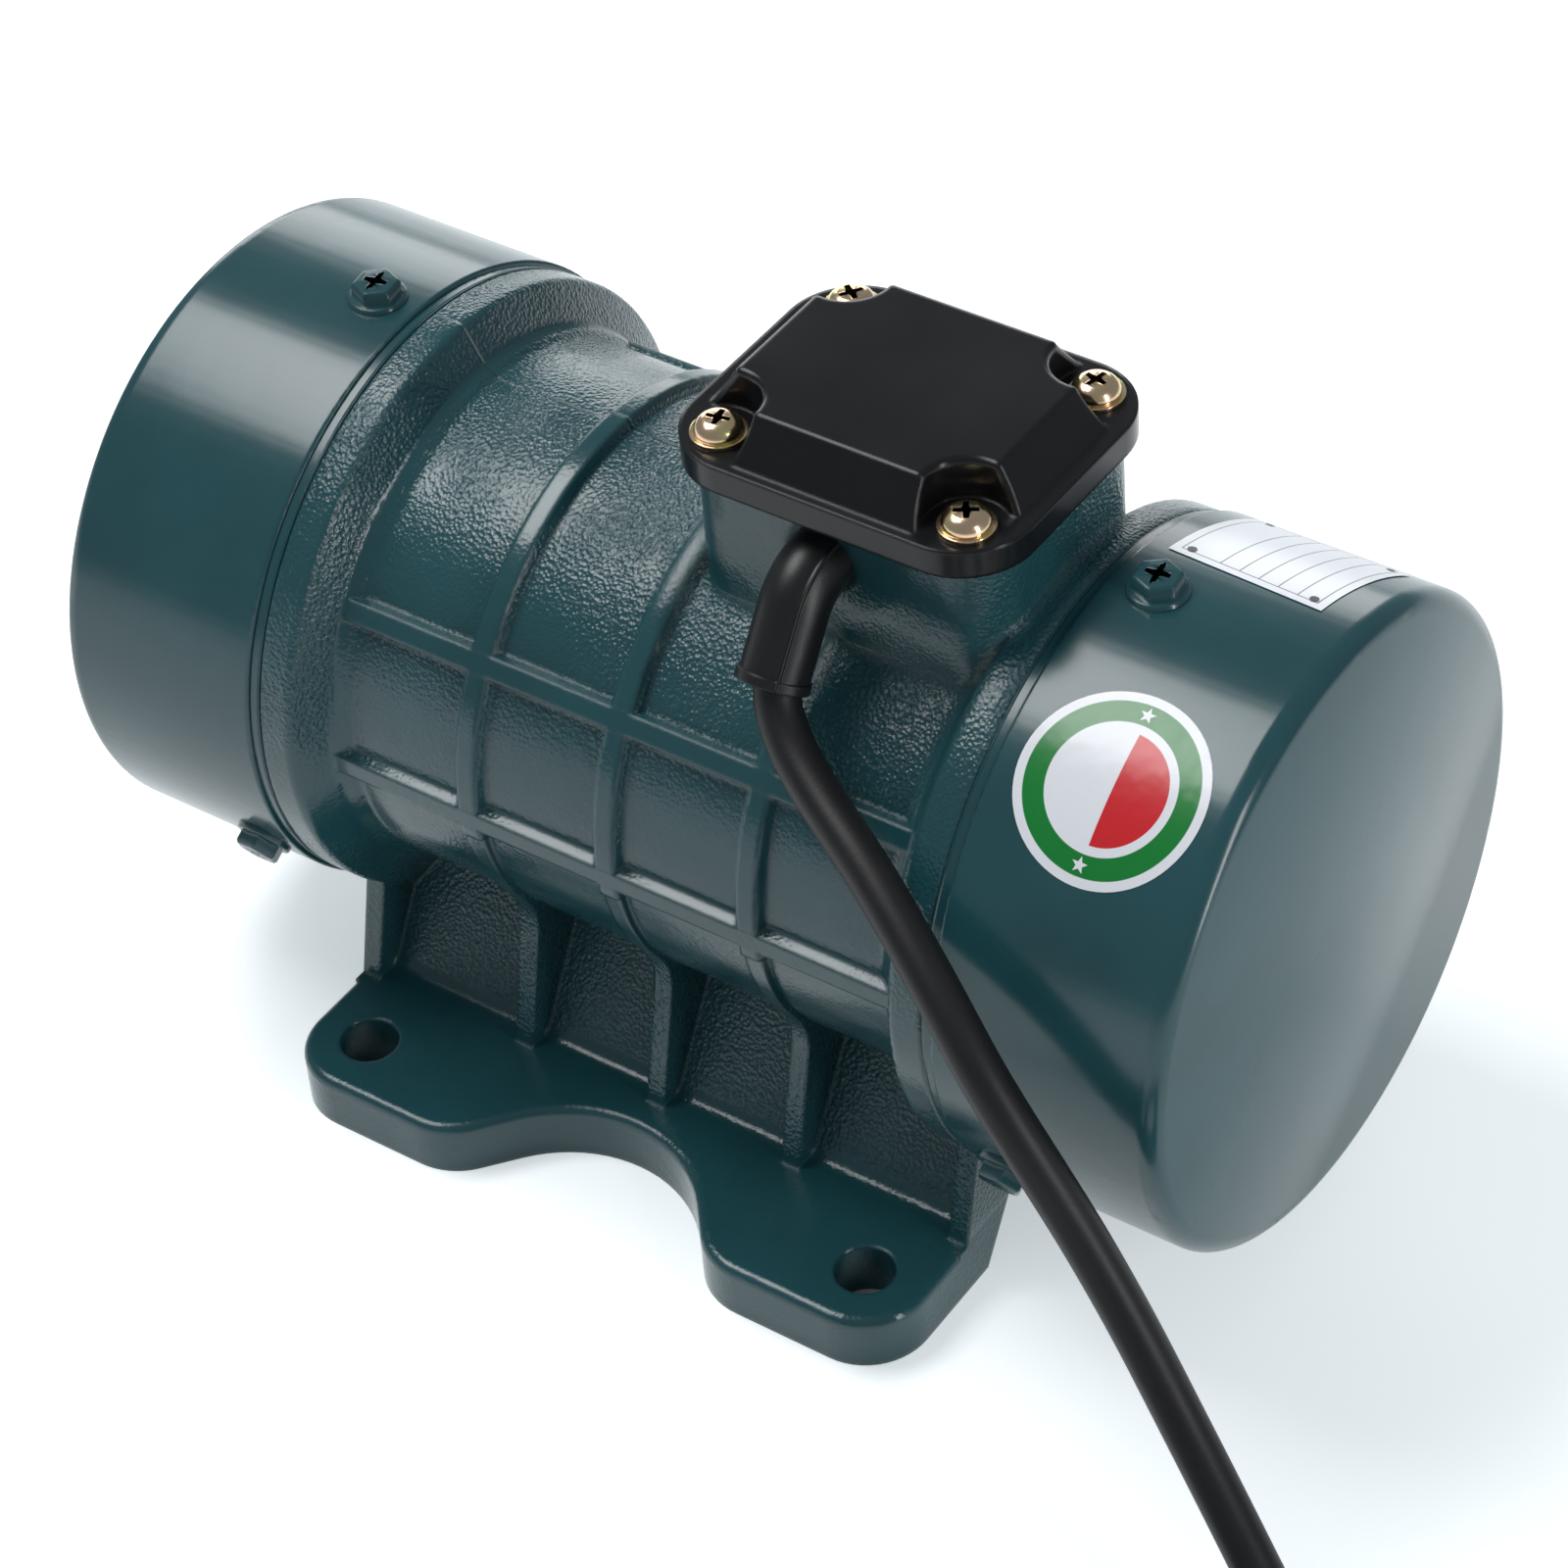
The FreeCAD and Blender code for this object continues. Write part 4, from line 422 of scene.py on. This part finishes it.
grain_here = maths(tree, "MAXIMUM", maths(tree, "MAXIMUM", panel_grain, slope_grain),
                   maths(tree, "MAXIMUM", web_grain, 0.16))
skin = use_group(tree, cast_skin, {"Vector": coordinates, "Grain": grain_here, "Wave": 0.5})
seam = use_group(tree, line_ridge, {"Place": y, "Middle": SEAM_OFFSET, "Half Width": 0.45 * MM})
seam_height = maths(tree, "MULTIPLY", seam.outputs["Mask"],
                    maths(tree, "MULTIPLY", soft_step(tree, z, 104 * MM, 108 * MM), 1.1))
broken = add_node(tree, "ShaderNodeTexNoise", {"Vector": coordinates, "Scale": 300.0, "Detail": 2.0})
seam_height = maths(tree, "MULTIPLY", seam_height, soft_step(tree, broken.outputs["Fac"], 0.32, 0.55))
height = maths(tree, "ADD", skin.outputs["Height"], seam_height)
tree.links.new(enamel_clouds(tree, coordinates), shader.inputs["Base Color"])
shader.inputs["Roughness"].default_value = CAST_ROUGHNESS
shader.inputs["Specular IOR Level"].default_value = 0.5
by_box = maths(tree, "MULTIPLY", soft_step(tree, x, -5 * MM, -1 * MM),
               maths(tree, "MULTIPLY", soft_step(tree, maths(tree, "ABSOLUTE", y), 31 * MM, 27 * MM),
                     soft_step(tree, z, 95 * MM, 99 * MM)))
edge = maths(tree, "MULTIPLY_ADD", by_box, BOX_FILLET - CAST_EDGE, CAST_EDGE)
tree.links.new(rounded_normal(tree, edge, height, CAST_DEPTH), shader.inputs["Normal"])
print("finish:", casting_enamel.name)

# %% Enamel on the covers, shields and cover screws
smooth_enamel, tree, shader = new_material("smooth_enamel")
coordinates, x, y, z = place_of(tree)
peel = use_group(tree, cast_skin, {"Vector": coordinates, "Grain": 0.02, "Wave": 0.22})
joint = use_group(tree, line_ridge, {
    "Place": maths(tree, "ABSOLUTE", x), "Middle": JOINT_PLACE + 0.2 * MM, "Half Width": 0.25 * MM})
height = maths(tree, "SUBTRACT", peel.outputs["Height"],
               maths(tree, "MULTIPLY", joint.outputs["Mask"], 1.5))
above_axis = maths(tree, "SUBTRACT", z, AXIS_HEIGHT)
across = maths(tree, "ADD", maths(tree, "MULTIPLY", y, y),
               maths(tree, "MULTIPLY", above_axis, above_axis))
dome = maths(tree, "DIVIDE", across, 2 * END_DOME_RADIUS * PEEL_DEPTH)
height = maths(tree, "SUBTRACT", height, dome)
tree.links.new(enamel_clouds(tree, coordinates), shader.inputs["Base Color"])
shader.inputs["Roughness"].default_value = SMOOTH_ROUGHNESS
tree.links.new(rounded_normal(tree, 0.5 * MM, height, PEEL_DEPTH), shader.inputs["Normal"])
print("finish:", smooth_enamel.name)

# %% [markdown]
# ### Plastics and rubber
# The lid is moulded black plastic with a faint gloss; the cable jacket and its sleeve are
# matt rubber with a fine grain. Gloss differs more than colour between them.

# %% Black finishes
def black_finish(name, colour, roughness, grain_scale, grain_depth, edge, gloss=0.5, seam=None):
    """A dark moulded finish with a fine grain and slightly uneven gloss; seam is an X place."""
    material, tree, shader = new_material(name)
    coordinates, x, _, _ = place_of(tree)
    shader.inputs["Specular IOR Level"].default_value = gloss
    grain = add_node(tree, "ShaderNodeTexNoise", {
        "Vector": coordinates, "Scale": grain_scale, "Detail": 3.0, "Roughness": 0.6})
    smear = add_node(tree, "ShaderNodeTexNoise", {"Vector": coordinates, "Scale": 60.0, "Detail": 3.0})
    lighter = tuple(min(channel * 1.35 + 0.002, 1) for channel in colour[:3]) + (1,)
    tree.links.new(mix_colours(tree, smear.outputs["Fac"], colour, lighter), shader.inputs["Base Color"])
    tree.links.new(
        maths(tree, "MULTIPLY_ADD", smear.outputs["Fac"], 0.12, roughness - 0.06),
        shader.inputs["Roughness"])
    height = grain.outputs["Fac"]
    if seam is not None:
        ridge = use_group(tree, line_ridge, {"Place": x, "Middle": seam, "Half Width": 0.4 * MM})
        height = maths(tree, "MULTIPLY_ADD", ridge.outputs["Mask"], SEAM_HEIGHT / grain_depth, height)
    tree.links.new(rounded_normal(tree, edge, height, grain_depth), shader.inputs["Normal"])
    return material


SEAM_HEIGHT = 0.25 * MM
SLEEVE_SEAM = SLEEVE_MOUTH.x + 3.3 * MM
lid_black = black_finish("lid_black", (0.006, 0.006, 0.007, 1), 0.2, 900.0, 0.010 * MM, 0.9 * MM, 0.3)
sleeve_black = black_finish(
    "sleeve_black", (0.0055, 0.0055, 0.006, 1), 0.38, 1400.0, 0.03 * MM, 0.4 * MM, 0.4, SLEEVE_SEAM)
gasket_black = black_finish("gasket_black", (0.012, 0.012, 0.012, 1), 0.5, 1400.0, 0.03 * MM, 0.3 * MM)
jacket_black = black_finish(
    "jacket_black", (0.0065, 0.006, 0.0065, 1), 0.46, 1600.0, 0.03 * MM, 0.2 * MM, 0.35)
plug_black = black_finish("plug_black", (0.009, 0.009, 0.009, 1), 0.38, 1100.0, 0.03 * MM, 0.8 * MM, 0.4)
block_pale = black_finish("block_pale", (0.55, 0.53, 0.48, 1), 0.45, 900.0, 0.01 * MM, 0.3 * MM)
print("dark finishes:", lid_black.name, sleeve_black.name, jacket_black.name, plug_black.name)

# %% [markdown]
# ### Metals
# Inside the motor steel is turned, ground or flame-cut, and the screws are plated. One
# function makes them all from a colour, a gloss and the direction of the tool marks.

# %% Metal finishes
def metal_finish(name, colour, tint, roughness, marks, depth, edge=0.3 * MM):
    """Bare metal with tool marks stretched across the given axes, and a drifting tint."""
    material, tree, shader = new_material(name)
    coordinates, _, _, _ = place_of(tree)
    stretched = add_node(tree, "ShaderNodeMapping", {"Vector": coordinates, "Scale": marks})
    tool = add_node(tree, "ShaderNodeTexNoise", {
        "Vector": stretched.outputs["Vector"], "Scale": 1.0, "Detail": 4.0, "Roughness": 0.6})
    drift = add_node(tree, "ShaderNodeTexNoise", {"Vector": coordinates, "Scale": 190.0, "Detail": 2.0})
    tree.links.new(
        mix_colours(tree, soft_step(tree, drift.outputs["Fac"], 0.38, 0.62), colour, tint),
        shader.inputs["Base Color"])
    shader.inputs["Metallic"].default_value = 1.0
    tree.links.new(
        maths(tree, "MULTIPLY_ADD", tool.outputs["Fac"], 0.16, roughness - 0.08),
        shader.inputs["Roughness"])
    tree.links.new(
        rounded_normal(tree, edge, tool.outputs["Fac"], depth), shader.inputs["Normal"])
    return material


FINE = (2200, 2200, 2200)
ACROSS_SHAFT = (3200, 120, 120)
turned_steel = metal_finish(
    "turned_steel", (0.46, 0.46, 0.47, 1), (0.40, 0.40, 0.42, 1), 0.30, ACROSS_SHAFT, 0.02 * MM)
ground_steel = metal_finish(
    "ground_steel", (0.62, 0.62, 0.64, 1), (0.58, 0.58, 0.60, 1), 0.16, ACROSS_SHAFT, 0.006 * MM)
stamped_steel = metal_finish(
    "stamped_steel", (0.30, 0.30, 0.32, 1), (0.24, 0.23, 0.24, 1), 0.42, (2000, 60, 60), 0.03 * MM)
cut_steel = metal_finish(
    "cut_steel", (0.26, 0.25, 0.25, 1), (0.17, 0.15, 0.15, 1), 0.46, FINE, 0.05 * MM, 0.6 * MM)
cast_aluminium = metal_finish(
    "cast_aluminium", (0.60, 0.61, 0.62, 1), (0.52, 0.53, 0.54, 1), 0.38, FINE, 0.04 * MM)
yellow_zinc = metal_finish(
    "yellow_zinc", (0.78, 0.66, 0.32, 1), (0.80, 0.56, 0.37, 1), 0.20, FINE, 0.006 * MM)
brass = metal_finish("brass", (0.72, 0.52, 0.22, 1), (0.62, 0.44, 0.18, 1), 0.26, FINE, 0.01 * MM)
nickel = metal_finish("nickel", (0.70, 0.69, 0.67, 1), (0.64, 0.63, 0.61, 1), 0.18, FINE, 0.006 * MM)
enamelled_copper = metal_finish(
    "enamelled_copper", (0.62, 0.26, 0.10, 1), (0.52, 0.20, 0.07, 1), 0.30, (60, 1500, 1500), 0.05 * MM)
print("metals ready")

# %% [markdown]
# The frame's nodes carry the shapes of the real pieces, so they stay and only take a finish,
# chosen by the material slot that the record names for each of them.

# %% Dress the frame's nodes
FINISH_OF_SLOT = {
    "casting_paint": casting_enamel, "cover_paint": smooth_enamel, "painted_screws": smooth_enamel,
    "steel": turned_steel, "core_steel": stamped_steel, "copper": enamelled_copper,
    "bearing_steel": ground_steel, "cage_brass": brass, "gasket": gasket_black,
    "lid_plastic": lid_black, "zinc_plated": yellow_zinc, "block_plastic": block_pale,
    "brass": brass, "can": cast_aluminium, "sleeve_rubber": sleeve_black,
    "cable_jacket": jacket_black, "plug_plastic": plug_black, "pin_metal": nickel,
    "cast_aluminium": cast_aluminium, "weight_steel": cut_steel,
}
for part in frame["record"]["subparts"]:
    dressed = nodes[part["node"]]
    dressed.data.materials.clear()
    dressed.data.materials.append(FINISH_OF_SLOT[part["material_slot"]])
for name in ("end_shield_left", "end_shield_right"):
    nodes[name].data.materials[0] = smooth_enamel
cable_curve.materials.append(jacket_black)
print("dressed nodes:", len(nodes))

# %% [markdown]
# ## Screws
# A screw is told by its recess. The head is a loop of edges pulled up through rings of a
# given radius and height, and its top is bridged to a plus-shaped hole, whose floor is pushed
# down and made smaller. The same function makes the domed pan heads on the lid and, started
# from six corners, the hexagon heads on the covers.

# %% Screw head builder
RING_POINTS = 24


def is_recess(vertex, arm, top):
    """True for a point of the plus shape on the head's top."""
    return abs(vertex.co.z - top) < 1e-6 and max(abs(vertex.co.x), abs(vertex.co.y)) < 1.01 * arm


def screw_head(builder, rings, arm, arm_width, depth, corners=RING_POINTS):
    """A closed head round a cross recess; rings are (radius, height) from the seat upwards."""
    start = Matrix.Translation((0, 0, rings[0][1]))
    base = bmesh.ops.create_circle(
        builder, cap_ends=True, segments=corners, radius=rings[0][0], matrix=start)["verts"]
    loop = [edge for edge in builder.edges if all(vertex in base for vertex in edge.verts)]
    if corners < RING_POINTS:
        bmesh.ops.subdivide_edges(builder, edges=loop, cuts=RING_POINTS // corners - 1)
        loop = [edge for edge in builder.edges if edge.is_boundary]
    previous = rings[0]
    for radius, height in rings[1:]:
        grown = bmesh.ops.extrude_edge_only(builder, edges=loop)["geom"]
        verts = [item for item in grown if isinstance(item, bmesh.types.BMVert)]
        loop = [item for item in grown if isinstance(item, bmesh.types.BMEdge)
                and all(vertex in verts for vertex in item.verts)]
        bmesh.ops.scale(builder, verts=verts, vec=(radius / previous[0], radius / previous[0], 1))
        bmesh.ops.translate(builder, verts=verts, vec=(0, 0, height - previous[1]))
        previous = (radius, height)
    top = rings[-1][1]
    plus = bmesh.ops.create_grid(builder, x_segments=3, y_segments=3, size=arm)["verts"]
    for vertex in plus:
        for axis in (0, 1):
            if abs(vertex.co[axis]) < 0.9 * arm:
                vertex.co[axis] = math.copysign(arm_width / 2, vertex.co[axis])
        vertex.co.z = top
    corner_faces = [face for face in {face for vertex in plus for face in vertex.link_faces}
                    if min(abs(face.calc_center_median().x),
                           abs(face.calc_center_median().y)) > arm_width / 2]
    bmesh.ops.delete(builder, geom=corner_faces, context="FACES")
    plus_faces = [face for face in builder.faces
                  if all(is_recess(vertex, arm, top) for vertex in face.verts)]
    outline = [edge for face in plus_faces for edge in face.edges if edge.is_boundary]
    bmesh.ops.subdivide_edges(builder, edges=list(set(outline)), cuts=1)
    plus_faces = [face for face in builder.faces
                  if all(is_recess(vertex, arm, top) for vertex in face.verts)]
    sunk = bmesh.ops.extrude_face_region(builder, geom=plus_faces)["geom"]
    bmesh.ops.delete(builder, geom=plus_faces, context="FACES_ONLY")
    loose = [edge for edge in builder.edges if not edge.link_faces]
    bmesh.ops.delete(builder, geom=loose, context="EDGES")
    sunk_verts = [item for item in sunk if isinstance(item, bmesh.types.BMVert)]
    bmesh.ops.translate(builder, verts=sunk_verts, vec=(0, 0, -depth))
    bmesh.ops.scale(builder, verts=sunk_verts, vec=(0.62, 0.62, 1))
    rim = [edge for edge in builder.edges if edge.is_boundary]
    bmesh.ops.bridge_loops(builder, edges=rim)
    bmesh.ops.recalc_face_normals(builder, faces=builder.faces[:])


def finished_piece(name, builder, finish, body="root", smooth=True):
    """A mesh object from the builder, dressed, riding on its body."""
    mesh = bpy.data.meshes.new(name)
    builder.to_mesh(mesh)
    builder.free()
    if smooth:
        mesh.shade_smooth()
        mesh.set_sharp_from_angle(angle=math.radians(38))
    mesh.materials.append(finish)
    made = bpy.data.objects.new(name, mesh)
    bpy.context.scene.collection.objects.link(made)
    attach(made, body)
    return made


def add_copy(target, source, matrix):
    """Puts a copy of one builder's shape, moved by the matrix, into another."""
    spare = bpy.data.meshes.new("spare")
    source.to_mesh(spare)
    spare.transform(matrix)
    target.from_mesh(spare)
    bpy.data.meshes.remove(spare)


print("ring points:", RING_POINTS)

# %% [markdown]
# The lid's screws are yellow-plated pan heads on plain washers. The model's own heads give
# their seat and place, so the new heads stand exactly on its washers.

# %% Lid screws
PAN_RINGS = [(radius * MM, height * MM) for radius, height in (
    (3.9, 0.0), (3.9, 0.45), (3.72, 1.05), (3.3, 1.65), (2.75, 2.1), (2.25, 2.36), (2.05, 2.42))]
LID_SCREW_TURNS = (12, 55, 33, 78)
low, high_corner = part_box("lid_screws")
washer_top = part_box("lid_washers")[1].z
pan = bmesh.new()
screw_head(pan, PAN_RINGS, arm=1.9 * MM, arm_width=0.85 * MM, depth=1.0 * MM)
all_heads = bmesh.new()
head_half = PAN_RINGS[0][0]
places = [(px, py) for px in (low.x + head_half, high_corner.x - head_half)
          for py in (low.y + head_half, high_corner.y - head_half)]
for (px, py), turn in zip(places, LID_SCREW_TURNS):
    stand = Matrix.Translation((px, py, washer_top)) @ Matrix.Rotation(math.radians(turn), 4, "Z")
    add_copy(all_heads, pan, stand)
pan.free()
lid_screw_heads = finished_piece("lid_screw_heads", all_heads, yellow_zinc)
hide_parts("lid_screws")
print("lid screws at", [(round(px / MM, 1), round(py / MM, 1)) for px, py in places])

# %% [markdown]
# Each cover is held by three self-tapping screws with a pressed-on washer under a low
# hexagon, painted over with the rest. Their middles come from the model's screw boxes.

# %% Cover screws
WASHER_RINGS = [(radius * MM, height * MM) for radius, height in (
    (4.9, -0.35), (4.9, 0.45), (4.7, 0.75), (3.4, 1.15))]
HEX_FLATS = 7
HEX_CORNER = HEX_FLATS / math.sqrt(3) * MM
HEX_RINGS = [(HEX_CORNER, 0.6 * MM), (HEX_CORNER, 2.75 * MM), (HEX_CORNER - 0.35 * MM, 3.2 * MM),
             (HEX_CORNER - 1.1 * MM, 3.35 * MM)]
HEAD_RISE = 3.2 * MM
COVER_SCREW_TURNS = (8, 40, 71)
hexagon = bmesh.new()
screw_head(hexagon, HEX_RINGS, arm=2.0 * MM, arm_width=0.9 * MM, depth=0.9 * MM, corners=6)
disc = bmesh.new()
screw_head(disc, WASHER_RINGS, arm=1.2 * MM, arm_width=0.6 * MM, depth=0.2 * MM)
add_copy(hexagon, disc, Matrix.Identity(4))
disc.free()
for side in ("left", "right"):
    low, high_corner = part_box(f"cover_screws_{side}")
    middle_x = (low.x + high_corner.x) / 2
    seat = high_corner.z - AXIS_HEIGHT - HEAD_RISE
    heads = bmesh.new()
    for number, turn in enumerate(COVER_SCREW_TURNS):
        round_shaft = (Matrix.Translation((0, 0, AXIS_HEIGHT))
                       @ Matrix.Rotation(math.tau * number / 3, 4, "X"))
        stand = Matrix.Translation((middle_x, 0, seat)) @ Matrix.Rotation(math.radians(turn), 4, "Z")
        add_copy(heads, hexagon, round_shaft @ stand)
    made = finished_piece(f"cover_screw_heads_{side}", heads, smooth_enamel)
    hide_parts(f"cover_screws_{side}")
hexagon.free()
print("cover screws seated at radius", round(seat / MM, 2))

# %% [markdown]
# ## Labels
# A round sticker and a rating plate lie on the right cover. Both are flat shapes bent round
# its cylinder. They are made flat first, where rings and lines are easy, and every point is
# then carried to the cover: its first coordinate stays along the shaft and its second one
# becomes an angle. A UV map keeps the flat coordinates for the printed colours. The sheets
# are left without words.

# %% Bend a flat sheet round the cover
COVER_RADIUS = 54 * MM


def lay_on_cover(builder, place, angle, twist, lift):
    """Carries flat points to the cover; angle is measured from the top towards +Y, in degrees."""
    flat = builder.loops.layers.uv.new("flat")
    for face in builder.faces:
        for corner in face.loops:
            corner[flat].uv = (corner.vert.co.x / MM, corner.vert.co.y / MM)
    turned = Matrix.Rotation(math.radians(twist), 4, "Z")
    for vertex in builder.verts:
        spot = turned @ vertex.co
        around = math.radians(angle) + spot.y / COVER_RADIUS
        reach = COVER_RADIUS + lift + spot.z
        vertex.co = (place + spot.x, reach * math.sin(around), AXIS_HEIGHT + reach * math.cos(around))


def flat_disc(builder, radius, rings=10, segments=72):
    """A disc with rings, spun from a line of points."""
    line = [builder.verts.new((radius * step / rings, 0, 0)) for step in range(rings + 1)]
    edges = [builder.edges.new(pair) for pair in zip(line, line[1:])]
    bmesh.ops.spin(builder, geom=line + edges, cent=(0, 0, 0), axis=(0, 0, 1), angle=math.tau,
                   steps=segments, use_merge=True)
    bmesh.ops.remove_doubles(builder, verts=builder.verts[:], dist=1e-6)
    bmesh.ops.recalc_face_normals(builder, faces=builder.faces[:])
    if builder.faces[0].normal.z < 0:
        bmesh.ops.reverse_faces(builder, faces=builder.faces[:])


print("cover radius:", COVER_RADIUS)

# %% Round sticker
STICKER_RADIUS, GREEN_OUTER, GREEN_INNER = 15.2, 13.7, 10.3
RED_START, RED_RADIUS = 0.3, 8.9
STICKER_PLACE, STICKER_ANGLE, STICKER_TWIST = 84.1 * MM, -35.3, 0.0
STICKER_WHITE = (0.80, 0.81, 0.85, 1)
STICKER_GREEN = (0.004, 0.20, 0.030, 1)
STICKER_RED = (0.62, 0.016, 0.022, 1)
PRINT_EDGE = 0.06

sticker_print, tree, shader = new_material("sticker_print")
flat_place = add_node(tree, "ShaderNodeUVMap", uv_map="flat").outputs["UV"]
apart = add_node(tree, "ShaderNodeSeparateXYZ", {"Vector": flat_place})
from_middle = add_node(tree, "ShaderNodeVectorMath", {0: flat_place}, operation="LENGTH").outputs["Value"]
ring = maths(
    tree, "MULTIPLY",
    soft_step(tree, from_middle, GREEN_INNER - PRINT_EDGE, GREEN_INNER + PRINT_EDGE),
    soft_step(tree, from_middle, GREEN_OUTER + PRINT_EDGE, GREEN_OUTER - PRINT_EDGE))
segment = maths(
    tree, "MULTIPLY",
    soft_step(tree, apart.outputs["X"], RED_START - PRINT_EDGE, RED_START + PRINT_EDGE),
    soft_step(tree, from_middle, RED_RADIUS + PRINT_EDGE, RED_RADIUS - PRINT_EDGE))
printed = mix_colours(tree, ring, STICKER_WHITE, STICKER_GREEN)
printed = mix_colours(tree, segment, printed, STICKER_RED)
tree.links.new(printed, shader.inputs["Base Color"])
shader.inputs["Roughness"].default_value = 0.22
sheen = add_node(tree, "ShaderNodeTexNoise", {"Vector": flat_place, "Scale": 0.35, "Detail": 1.0})
ripple = add_node(tree, "ShaderNodeBump", {"Height": sheen.outputs["Fac"], "Distance": 0.05 * MM})
tree.links.new(ripple.outputs["Normal"], shader.inputs["Normal"])

sticker = bmesh.new()
flat_disc(sticker, STICKER_RADIUS * MM)
lay_on_cover(sticker, STICKER_PLACE, STICKER_ANGLE, STICKER_TWIST, 0.08 * MM)
finished_piece("round_sticker", sticker, sticker_print)
print("sticker across:", 2 * STICKER_RADIUS, "mm")

# %% [markdown]
# Two little white stars sit on the sticker's green ring. A star is a circle of ten points
# with every second one drawn in.

# %% Stars on the sticker
star_white, tree, shader = new_material("star_white")
shader.inputs["Base Color"].default_value = STICKER_WHITE
shader.inputs["Roughness"].default_value = 0.25
stars = bmesh.new()
STAR_RADIUS = 1.35 * MM
STAR_NOTCH = 0.42
STAR_ANGLES = (90, 270)
RING_MIDDLE = (GREEN_INNER + GREEN_OUTER) / 2 * MM
for around_ring in STAR_ANGLES:
    points = bmesh.ops.create_circle(stars, cap_ends=True, segments=10, radius=STAR_RADIUS)["verts"]
    bmesh.ops.scale(stars, verts=points[1::2], vec=(STAR_NOTCH, STAR_NOTCH, 1))
    turn = math.radians(around_ring)
    on_ring = (RING_MIDDLE * math.cos(turn), RING_MIDDLE * math.sin(turn), 0)
    bmesh.ops.translate(stars, verts=points, vec=on_ring)
bmesh.ops.triangulate(stars, faces=stars.faces[:])
lay_on_cover(stars, STICKER_PLACE, STICKER_ANGLE, STICKER_TWIST, 0.12 * MM)
finished_piece("sticker_stars", stars, star_white, smooth=False)
print("stars:", len(STAR_ANGLES))

# %% [markdown]
# The rating plate is a thin square of aluminium sheet with four rivets. It keeps the frame
# and the ruled rows of such a plate, and they are empty.

# %% Rating plate
PLATE_LENGTH, PLATE_WIDTH = 27.0, 27.0
PLATE_PLACE, PLATE_ANGLE, PLATE_TWIST = 83.3 * MM, 24.0, -3.3
PLATE_ROWS = (-5.2, -1.8, 1.6, 5.0, 8.4)
PLATE_SILVER, PLATE_INK = (0.70, 0.72, 0.76, 1), (0.03, 0.03, 0.035, 1)
RIVET_RADIUS = 0.75 * MM
RIVET_PLACES = [(rivet_x * MM, rivet_y * MM, 0) for rivet_x in (-10.6, 11.0) for rivet_y in (-11.4, 11.4)]
plate_print, tree, shader = new_material("plate_print")
flat_place = add_node(tree, "ShaderNodeUVMap", uv_map="flat").outputs["UV"]
apart = add_node(tree, "ShaderNodeSeparateXYZ", {"Vector": flat_place})
LINE_HALF, FRAME_HALF = 0.19, 12.0
across_plate = maths(tree, "ABSOLUTE", apart.outputs["Y"])
along_plate = maths(tree, "ABSOLUTE", apart.outputs["X"])
lines = use_group(tree, line_ridge, {
    "Place": maths(tree, "MAXIMUM", across_plate, along_plate),
    "Middle": FRAME_HALF, "Half Width": LINE_HALF}).outputs["Mask"]
inside = soft_step(tree, across_plate, FRAME_HALF + 0.1, FRAME_HALF)
for row in PLATE_ROWS:
    ruled = use_group(tree, line_ridge, {
        "Place": apart.outputs["X"], "Middle": row, "Half Width": LINE_HALF})
    lines = maths(tree, "MAXIMUM", lines, maths(tree, "MULTIPLY", ruled.outputs["Mask"], inside))
tree.links.new(mix_colours(tree, lines, PLATE_SILVER, PLATE_INK), shader.inputs["Base Color"])
shader.inputs["Metallic"].default_value = 0.2
shader.inputs["Roughness"].default_value = 0.34

plate = bmesh.new()
bmesh.ops.create_grid(plate, x_segments=14, y_segments=14, size=0.5)
bmesh.ops.scale(plate, verts=plate.verts[:], vec=(PLATE_LENGTH * MM, PLATE_WIDTH * MM, 1))
lay_on_cover(plate, PLATE_PLACE, PLATE_ANGLE, PLATE_TWIST, 0.15 * MM)
finished_piece("rating_plate", plate, plate_print)

rivet_dark, tree, shader = new_material("rivet_dark")
shader.inputs["Base Color"].default_value = (0.02, 0.02, 0.022, 1)
shader.inputs["Roughness"].default_value = 0.4
rivets = bmesh.new()
for rivet_place in RIVET_PLACES:
    dot = bmesh.ops.create_circle(rivets, cap_ends=True, segments=20, radius=RIVET_RADIUS)["verts"]
    bmesh.ops.translate(rivets, verts=dot, vec=rivet_place)
lay_on_cover(rivets, PLATE_PLACE, PLATE_ANGLE, PLATE_TWIST, 0.25 * MM)
finished_piece("plate_rivets", rivets, rivet_dark, smooth=False)
print("plate:", PLATE_LENGTH, "by", PLATE_WIDTH, "mm")
